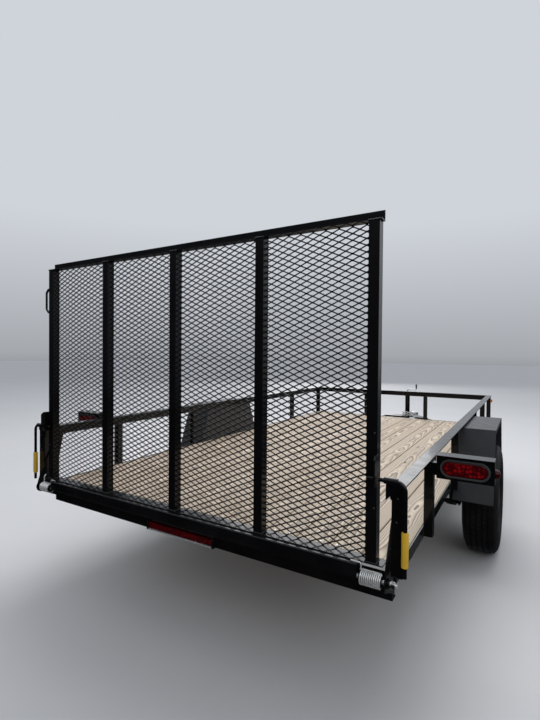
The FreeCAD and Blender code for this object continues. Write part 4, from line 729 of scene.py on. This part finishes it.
# Hinge pins: black washers outside the ear, a bright collar nut and the pin's threaded end
EAR_FACE = 0.975
pin = [(pin_high.x - 0.150, pin_y, pin_z), (pin_high.x, pin_y, pin_z)]
bars("hinge_pin_bars", [pin, on_left(pin)], 0.007, 0.0, BRIGHT, "chassis", ["hinge_pins"])
WASHERS = [(0.0, 0.0072), (0.0, 0.0165), (0.0008, 0.0170), (0.0036, 0.0170), (0.0042, 0.0150),
           (0.0048, 0.0150), (0.0052, 0.0132), (0.0088, 0.0130), (0.0090, 0.0072)]
for side_name, side in SIDES:
    turned("pin_washers_" + side_name, WASHERS, (side * EAR_FACE, pin_y, pin_z), BLACK,
           "chassis", "black_paint", side=side, steps=40, closed=True)
    fasteners("pin_nuts_" + side_name, [(side * (EAR_FACE + 0.009), pin_y, pin_z)], side_name, ZINC,
              "chassis", "zinc", Radius=0.0122, Height=0.012, Washer=0.0150, Thickness=0.0035)


# Latch rods, their grips, and the jack's crank
ROD, GRIP = 0.007, 0.0115
low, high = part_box("latch_rods")
rod_y, leg_x, over_z = (low.y + high.y) / 2, high.x - ROD, high.z - ROD
rod = [(0.942, rod_y, over_z), (leg_x, rod_y, over_z), (leg_x, rod_y, low.z)]
bars("latch_rods_bent", [rod, on_left(rod)], ROD, 0.030, BLACK, "chassis", ["latch_rods"], 20)
grip_low, grip_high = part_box("latch_grips")
grip_long = grip_high.z - grip_low.z
half_grip = [(0.0, ROD + 0.0003), (0.0, GRIP - 0.003), (0.001, GRIP - 0.001), (0.003, GRIP)]
grip_profile = half_grip + [(grip_long - along, radius) for along, radius in half_grip[::-1]]
for side_name, side in SIDES:
    turned("latch_grip_%s_rounded" % side_name, grip_profile, (side * leg_x, rod_y, grip_low.z), YELLOW,
           "chassis", "yellow_vinyl", ["latch_grips"] if side > 0 else (), axis="z", steps=32, closed=True)
CRANK = 0.006
low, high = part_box("jack_crank")
jack_y = (low.y + high.y) / 2
jack_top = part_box("jack_tube")[1].z
crank_z, knob_x = jack_top + 0.030, high.x - CRANK * 1.6
crank = [(0, jack_y, jack_top - 0.002), (0, jack_y, crank_z), (knob_x, jack_y, crank_z),
         (knob_x, jack_y, high.z)]
bars("jack_crank_bent", [crank], CRANK, 0.014, ZINC, "chassis", ["jack_crank"])
KNOB = [(0.0, CRANK), (0.0, 0.0095), (0.003, 0.0102), (0.010, 0.0092), (0.045, 0.0092), (0.052, 0.0102),
        (0.055, 0.0095), (0.055, CRANK)]
turned("crank_grip", KNOB, (knob_x, jack_y, crank_z + 0.014), RUBBER, "chassis", "black_rubber",
       axis="z", steps=28, closed=True)
CAP = [(0.0, 0.0), (0.0, 0.0312), (0.004, 0.0312), (0.012, 0.0300), (0.016, 0.0250), (0.017, 0.0100),
       (0.017, 0.0)]
turned("jack_cap", CAP, (0, jack_y, jack_top - 0.014), BLACK, "chassis", "black_paint", axis="z", steps=40)


# Safety chains: rounded links, flat and on edge by turns, in loops round the jack
def chain_tree():
    tree, given, result = shape_group("safety_chains", {
        "Links": 12, "Ring": 0.0573, "Long": 0.041, "Wide": 0.023, "Wire": 0.0034, "Loops": 2, "Step": 0.0303,
        "Middle": (0, 0, 0)})
    outline = rectangle(tree, given["Long"], given["Wide"])
    link = round_bar(tree, eased(tree, outline, times(tree, given["Wide"], 0.495), 6), given["Wire"], 8)
    index = got(tree, "GeometryNodeInputIndex")
    angle = times(tree, index, calc(tree, "DIVIDE", math.tau, given["Links"]))
    on_edge = times(tree, calc(tree, "MODULO", index, 2.0), QUARTER)
    turn = vector(tree, on_edge, 0, plus(tree, angle, QUARTER))
    loop = repeated(tree, ring_of(tree, given["Links"], given["Ring"]), link, Rotation=turn)
    stack = in_line(tree, given["Loops"], given["Middle"], vector(tree, 0, 0, given["Step"]))
    return ready_tree(tree, repeated(tree, stack, loop), BRIGHT, result)


chain_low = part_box("safety_chains")[0].z
grown("safety_chains_linked", chain_tree(), {"Middle": (0, jack_y, chain_low + 0.015)}, "chassis",
      ["safety_chains"], smooth=True)


# Tail lamps: a domed lens in a rounded grommet, small side lamps, and the lamp bar
def oval_ring(middle, wide, high, y, count=18):
    """Points round a long oval that faces the rear."""
    radius, half = high / 2, (wide - high) / 2
    points = []
    for start, centre_x in ((-90, half), (90, -half)):
        for k in range(count + 1):
            angle = math.radians(start + 180 * k / count)
            x = middle.x + centre_x + radius * math.cos(angle)
            points.append((x, y, middle.z + radius * math.sin(angle)))
    return points


def lens_mesh(name, middle, wide, high, face, dome):
    """Oval lens: rows are the share of its size, how far it stands out, and where the lamps lie, which takes
    the painted glints.
    """
    rows = [(1.0, -0.010, 0), (1.0, 0.0, 0), (0.985, 0.25, 0), (0.95, 0.5, 0), (0.86, 0.72, 0.0),
            (0.80, 0.80, 0.6), (0.70, 0.88, 1.0), (0.45, 0.97, 1.0), (0.2, 1.0, 1.0)]
    points, faces, glint_area = [], [], []
    for share, out, lit in rows:
        y = face - out * dome if out >= 0 else face - out
        flat = (wide - high) * (1 - (1 - share) * 0.35)
        points += oval_ring(middle, flat + high * share, high * share, y)
        glint_area += [lit] * (len(points) - len(glint_area))
    count = len(points) // len(rows)
    for r in range(len(rows) - 1):
        for k in range(count):
            a, b = r * count + k, r * count + (k + 1) % count
            faces.append((a, b, b + count, a + count))
    faces.append(tuple(range((len(rows) - 1) * count, len(rows) * count)))
    faces.append(tuple(range(count))[::-1])
    mesh = bpy.data.meshes.new(name)
    mesh.from_pydata(points, [], faces)
    mesh.attributes.new("glint_area", "FLOAT", "POINT").data.foreach_set("value", glint_area)
    return smoothed(mesh, 50)


def oval_rim_tree():
    tree, given, result = shape_group(
        "grommet_rims", {"Wide": 0.173, "High": 0.065, "Radius": 0.0044, "Middle": (0, 0, 0)})
    oval = eased(tree, rectangle(tree, given["Wide"], given["High"]), times(tree, given["High"], 0.499), 14)
    stood = moved(tree, oval, Translation=given["Middle"], Rotation=vector(tree, QUARTER))
    return ready_tree(tree, mirrored(tree, round_bar(tree, stood, given["Radius"], 12)), RUBBER, result)


LENS_WIDE, LENS_HIGH = 0.165, 0.057
low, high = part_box("tail_lenses")
lens_x, lens_z = high.x - LENS_WIDE / 2, (low.z + high.z) / 2
for side_name, side in SIDES:
    mesh = lens_mesh("lens_" + side_name, Vector((side * lens_x, 0, lens_z)), LENS_WIDE, LENS_HIGH,
                     low.y + 0.004, 0.0042)
    piece_from("tail_lens_%s_domed" % side_name, mesh, RED, "chassis",
               ["tail_lenses"] if side > 0 else ())
rim_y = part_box("lamp_grommets")[0].y + 0.001
grown("grommet_rims", oval_rim_tree(), {"Middle": (lens_x, rim_y, lens_z)}, "chassis",
      smooth=True)
MARKER = [(0.0, 0.0), (0.0, 0.0185), (0.004, 0.0188), (0.006, 0.0175), (0.006, 0.0160), (0.012, 0.0152),
          (0.016, 0.0118), (0.0178, 0.0065), (0.018, 0.0)]
for label, slot in (("side_markers_red", "red_lens"), ("side_markers_amber", "amber_lens")):
    low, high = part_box(label)
    for side_name, side in SIDES:
        start = (side * (high.x - 0.018), (low.y + high.y) / 2, (low.z + high.z) / 2)
        turned("%s_%s_domed" % (label, side_name), MARKER, start, FINISHES[slot], "chassis", slot,
               [label] if side > 0 else (), side=side, steps=32)


def strip_mesh(name, section, low_x, high_x, steps=1):
    """Mesh of a section in Y and Z drawn out along X, closed at its ends."""
    points, faces, count = [], [], len(section)
    for k in range(steps + 1):
        x = low_x + (high_x - low_x) * k / steps
        points += [(x, y, z) for y, z in section]
    for k in range(steps):
        for i in range(count):
            a, b = k * count + i, k * count + (i + 1) % count
            faces.append((a, b, b + count, a + count))
    faces += [tuple(range(count))[::-1], tuple(range(steps * count, (steps + 1) * count))]
    work = bmesh.new()
    corners = [work.verts.new(point) for point in points]
    for face in faces:
        work.faces.new([corners[i] for i in face])
    bmesh.ops.recalc_face_normals(work, faces=work.faces)
    mesh = bpy.data.meshes.new(name)
    work.to_mesh(mesh)
    work.free()
    return smoothed(mesh)


low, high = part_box("lamp_bar")
back, lens_back, lens_foot, tray_top = high.y, high.y - 0.004, low.z + 0.006, low.z + 0.0055
lens_section = [(lens_back, high.z), (low.y + 0.007, high.z), (low.y + 0.002, high.z - 0.003),
                (low.y, high.z - 0.010), (low.y + 0.001, low.z + 0.012), (low.y + 0.004, lens_foot),
                (lens_back, lens_foot)]
mesh = strip_mesh("bar_lens", lens_section, low.x + 0.010, high.x - 0.010, 24)
# The bar's lens takes painted glints all over, at 0.4 of their full strength
mesh.attributes.new("glint_area", "FLOAT", "POINT").data.foreach_set("value", [0.4] * len(mesh.vertices))
piece_from("lamp_bar_lens", mesh, RED, "chassis", ["lamp_bar"])
tray_section = [(back, low.z), (back, high.z), (back - 0.005, high.z), (back - 0.005, tray_top),
                (low.y - 0.001, tray_top), (low.y - 0.001, low.z)]
mesh = strip_mesh("bar_tray", tray_section, low.x + 0.006, high.x - 0.006)
piece_from("lamp_bar_tray", mesh, BRIGHT, "chassis")
end_section = [(back, low.z - 0.001), (back, high.z + 0.002), (low.y + 0.004, high.z + 0.002),
               (low.y - 0.002, high.z - 0.006), (low.y - 0.002, low.z - 0.001)]
for side_name, side in SIDES:
    middle_x = side * (high.x - 0.005)
    mesh = strip_mesh("bar_end_" + side_name, end_section, middle_x - 0.005, middle_x + 0.005)
    piece_from("lamp_bar_end_" + side_name, mesh, BLACK, "chassis")


# Small fasteners: deck screws over the cross members, screws on the posts and the gate's uprights, plugs in
# the rails and bolts of the jack's mount
GATE_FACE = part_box("gate_frame")[0].y + 0.025
SMALL = {"Sides": 8, "Radius": 0.0024, "Height": 0.002, "Washer": 0.0032, "Thickness": 0.0006}
MEMBERS, FIRST_MEMBER, MEMBER_PITCH = 6, 0.148, 0.595
screws = []
for k in range(BOARDS):
    for y in (GATE_FACE + FIRST_MEMBER + MEMBER_PITCH * member for member in range(MEMBERS)):
        for share in (0.24, 0.76):
            screws.append((deck_low.x + board_pitch * k + board_wide * share, y, deck_high.z - 0.0004))
fasteners("deck_screws", screws, "up", ZINC, "chassis", "zinc",
          Sides=10, Radius=0.0042, Height=0.0008, Washer=0.0048, Thickness=0.0006)
post_face = [(0.997, GATE_FACE, 0.733), (1.0, GATE_FACE, 0.811)]
fasteners("post_screws", post_face + on_left(post_face), "rear", HUB, "chassis", "zinc", **SMALL)
upright_face = [(0.921, GATE_FACE, 0.766), (0.921, GATE_FACE, 1.02)]
fasteners("upright_screws", upright_face + on_left(upright_face), "rear", HUB, "gate", "zinc", **SMALL)
rail_holes = [(0.944, GATE_FACE + 0.325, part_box("rail_right")[1].z)]
fasteners("rail_plugs", rail_holes + on_left(rail_holes), "up", HUB, "chassis", "zinc",
          Sides=10, Radius=0.0042, Height=0.0015, Washer=0.0058, Thickness=0.0006)
tongue_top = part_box("tongue")[1].z
mount_bolts = [(x, jack_y + y, tongue_top) for x, y in ((-0.045, 0.055), (0.045, 0.055), (0.0, -0.062))]
fasteners("jack_mount_bolts", mount_bolts, "up", ZINC, "chassis", "zinc",
          Radius=0.0085, Height=0.0065, Washer=0.0115, Thickness=0.002)


# Spring clamps: a bolt bent over the axle on each side of each leaf spring, with its nuts and plate
LEAF_X, CLAMP, SHANK, BESIDE = 0.940, 0.0365, 0.0055, 0.0295
BOLT_END, PLATE_LOW, PLATE_HIGH = 0.262, 0.2785, 0.286
low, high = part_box("axle_beam")
axle_y = (low.y + high.y) / 2
over_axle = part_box("tyre_right")[0].z + 0.344 + CLAMP
near_y, far_y = axle_y - CLAMP, axle_y + CLAMP
clamp_runs, nut_places = [], []
for side in (1, -1):
    for x in (side * LEAF_X - BESIDE, side * LEAF_X + BESIDE):
        clamp_runs.append([(x, near_y, BOLT_END), (x, near_y, over_axle), (x, far_y, over_axle),
                           (x, far_y, BOLT_END)])
        nut_places += [(x, near_y, PLATE_LOW), (x, far_y, PLATE_LOW)]
bars("spring_clamps", clamp_runs, SHANK, 0.036, ZINC, "chassis", sides=12)
fasteners("clamp_nuts", nut_places, "down", ZINC, "chassis", "zinc",
          Radius=0.0105, Height=0.009, Washer=0.012, Thickness=0.002)
half_plate = [(0.052, PLATE_LOW), (0.055, PLATE_LOW + 0.0005), (0.055, PLATE_HIGH - 0.0005),
              (0.052, PLATE_HIGH)]
plate_section = [(axle_y + y, z) for y, z in half_plate + [(-y, z) for y, z in half_plate[::-1]]]
for side_name, side in SIDES:
    mesh = strip_mesh("clamp_plate_" + side_name, plate_section, side * LEAF_X - 0.042, side * LEAF_X + 0.042)
    piece_from("clamp_plate_" + side_name, mesh, BLACK, "chassis")


# Welds at the feet and tops of the gate's uprights, and at the posts
frame_low, frame_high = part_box("gate_frame")
UPRIGHT = 0.038
UPRIGHTS, GATE_WIDE = 5, 1.860
foot_z, top_bar_z = frame_low.z + 0.058, frame_high.z - UPRIGHT
front_face = GATE_FACE + UPRIGHT
gate_welds = []
for k in range(UPRIGHTS):
    left = -GATE_WIDE / 2 + (GATE_WIDE - UPRIGHT) / (UPRIGHTS - 1) * k
    right = left + UPRIGHT
    gate_welds += [[(left, GATE_FACE, z), (right, GATE_FACE, z)] for z in (foot_z, top_bar_z)]
    gate_welds += [[(x, GATE_FACE, foot_z), (x, front_face, foot_z)] for x in (left, right)]
welds("gate_welds", gate_welds, "gate")
post_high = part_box("rail_posts")[1]
beside_post = post_high.x - UPRIGHT + 0.0008
POST_WELD = (0.503, 0.541)
post_runs = []
for place in (0.0, 0.514, 1.270, 2.262, 2.990, 3.722):
    ends = (GATE_FACE + place, GATE_FACE + place + UPRIGHT)
    if place > 0:
        post_runs += [[(beside_post, y, z) for z in POST_WELD] for y in ends]
    post_runs.append([(post_high.x, y, post_high.z) for y in ends])
welds("post_welds", [run for one in post_runs for run in (one, on_left(one))], "chassis")


# Camera, floor and light
def look_frame(yaw, pitch, roll):
    """Turn of a camera from its heading left of +Y, its pitch and its roll, in degrees."""
    yaw, pitch, roll = (math.radians(a) for a in (yaw, pitch, roll))
    forward = Vector((-math.sin(yaw) * math.cos(pitch), math.cos(yaw) * math.cos(pitch), math.sin(pitch)))
    level = Vector((math.cos(yaw), math.sin(yaw), 0))
    upward = level.cross(forward)
    right = math.cos(roll) * level + math.sin(roll) * upward
    top = math.cos(roll) * upward - math.sin(roll) * level
    return Matrix((right, top, -forward)).transposed()


camera_data = bpy.data.cameras.new("camera")
camera_data.lens = 21.47
camera_data.sensor_width = 36
camera = bpy.data.objects.new("camera", camera_data)
camera.matrix_world = Matrix.Translation((1.3594, -3.8082, 1.2829)) @ look_frame(31.05, -0.83, 0.483).to_4x4()
bpy.context.scene.collection.objects.link(camera)
bpy.context.scene.camera = camera


def floor_finish(colour, shade, rough):
    material, tree, shader, place = new_material("studio_floor")
    tree.links.new(tint(tree, mottled(tree, place, 0.6), colour, shade), shader.inputs["Base Color"])
    shader.inputs["Roughness"].default_value = rough
    return material


FLOOR_HALF = 60
floor_mesh = bpy.data.meshes.new("floor")
floor_mesh.from_pydata([(x * FLOOR_HALF, y * FLOOR_HALF, 0) for x, y in ((-1, -1), (1, -1), (1, 1), (-1, 1))],
                       [], [(0, 1, 2, 3)])
floor_mesh.materials.append(floor_finish((0.60, 0.60, 0.61), (0.576, 0.576, 0.5856), 0.7))
floor = bpy.data.objects.new("floor", floor_mesh)
bpy.context.scene.collection.objects.link(floor)
floor.visible_glossy = False  # the photo's ground is dark asphalt, so the paint has no pale floor to mirror


def soft_light(name, place, target, size, power):
    light = bpy.data.lights.new(name, "AREA")
    light.shape = "DISK"
    light.size = size
    light.energy = power
    lamp = bpy.data.objects.new(name, light)
    lamp.location = place
    lamp.rotation_euler = (Vector(target) - Vector(place)).to_track_quat("-Z", "Y").to_euler()
    lamp.visible_camera = False
    bpy.context.scene.collection.objects.link(lamp)


soft_light("overhead", (-0.5, 1.5, 7.5), (0, -0.3, 0.5), 8.0, 420)
soft_light("front_panel", (-6.0, 13.0, 5.5), (0, 0, 0.5), 9.0, 330)
soft_light("camera_side", (4.5, -6.0, 4.0), (0.3, -1.0, 0.7), 4.0, 60)
# The room is lighter high up and ahead of the trailer than behind the camera
PALE, DIM = (0.80, 0.84, 0.90), (0.07, 0.073, 0.08)
world = bpy.data.worlds.new("studio")
bpy.context.scene.world = world
world.use_nodes = True
room = world.node_tree
way = axes(room, put(room, "ShaderNodeTexCoord").outputs["Generated"])
shares = [put(room, "ShaderNodeMapRange",
              {"Value": way[axis], "From Min": start, "From Max": end, "To Min": 1.0, "To Max": 0.0},
              interpolation_type="SMOOTHSTEP").outputs["Result"]
          for axis, start, end in (("Y", -0.45, 0.5), ("Z", 0.15, 0.85))]
backdrop = tint(room, times(room, *shares), PALE, DIM)
seen = put(room, "ShaderNodeLightPath").outputs["Is Camera Ray"]
strength = times(room, spread(room, way["Z"], -0.12, 0.0, 0.15, 1.0),
                 spread(room, way["Z"], 0.0, 0.28, 0.6, 1.0), 0.78)
background = room.nodes["Background"].inputs
room.links.new(tint(room, seen, backdrop, PALE), background["Color"])
room.links.new(strength, background["Strength"])
bpy.context.scene.view_settings.view_transform = "Standard"
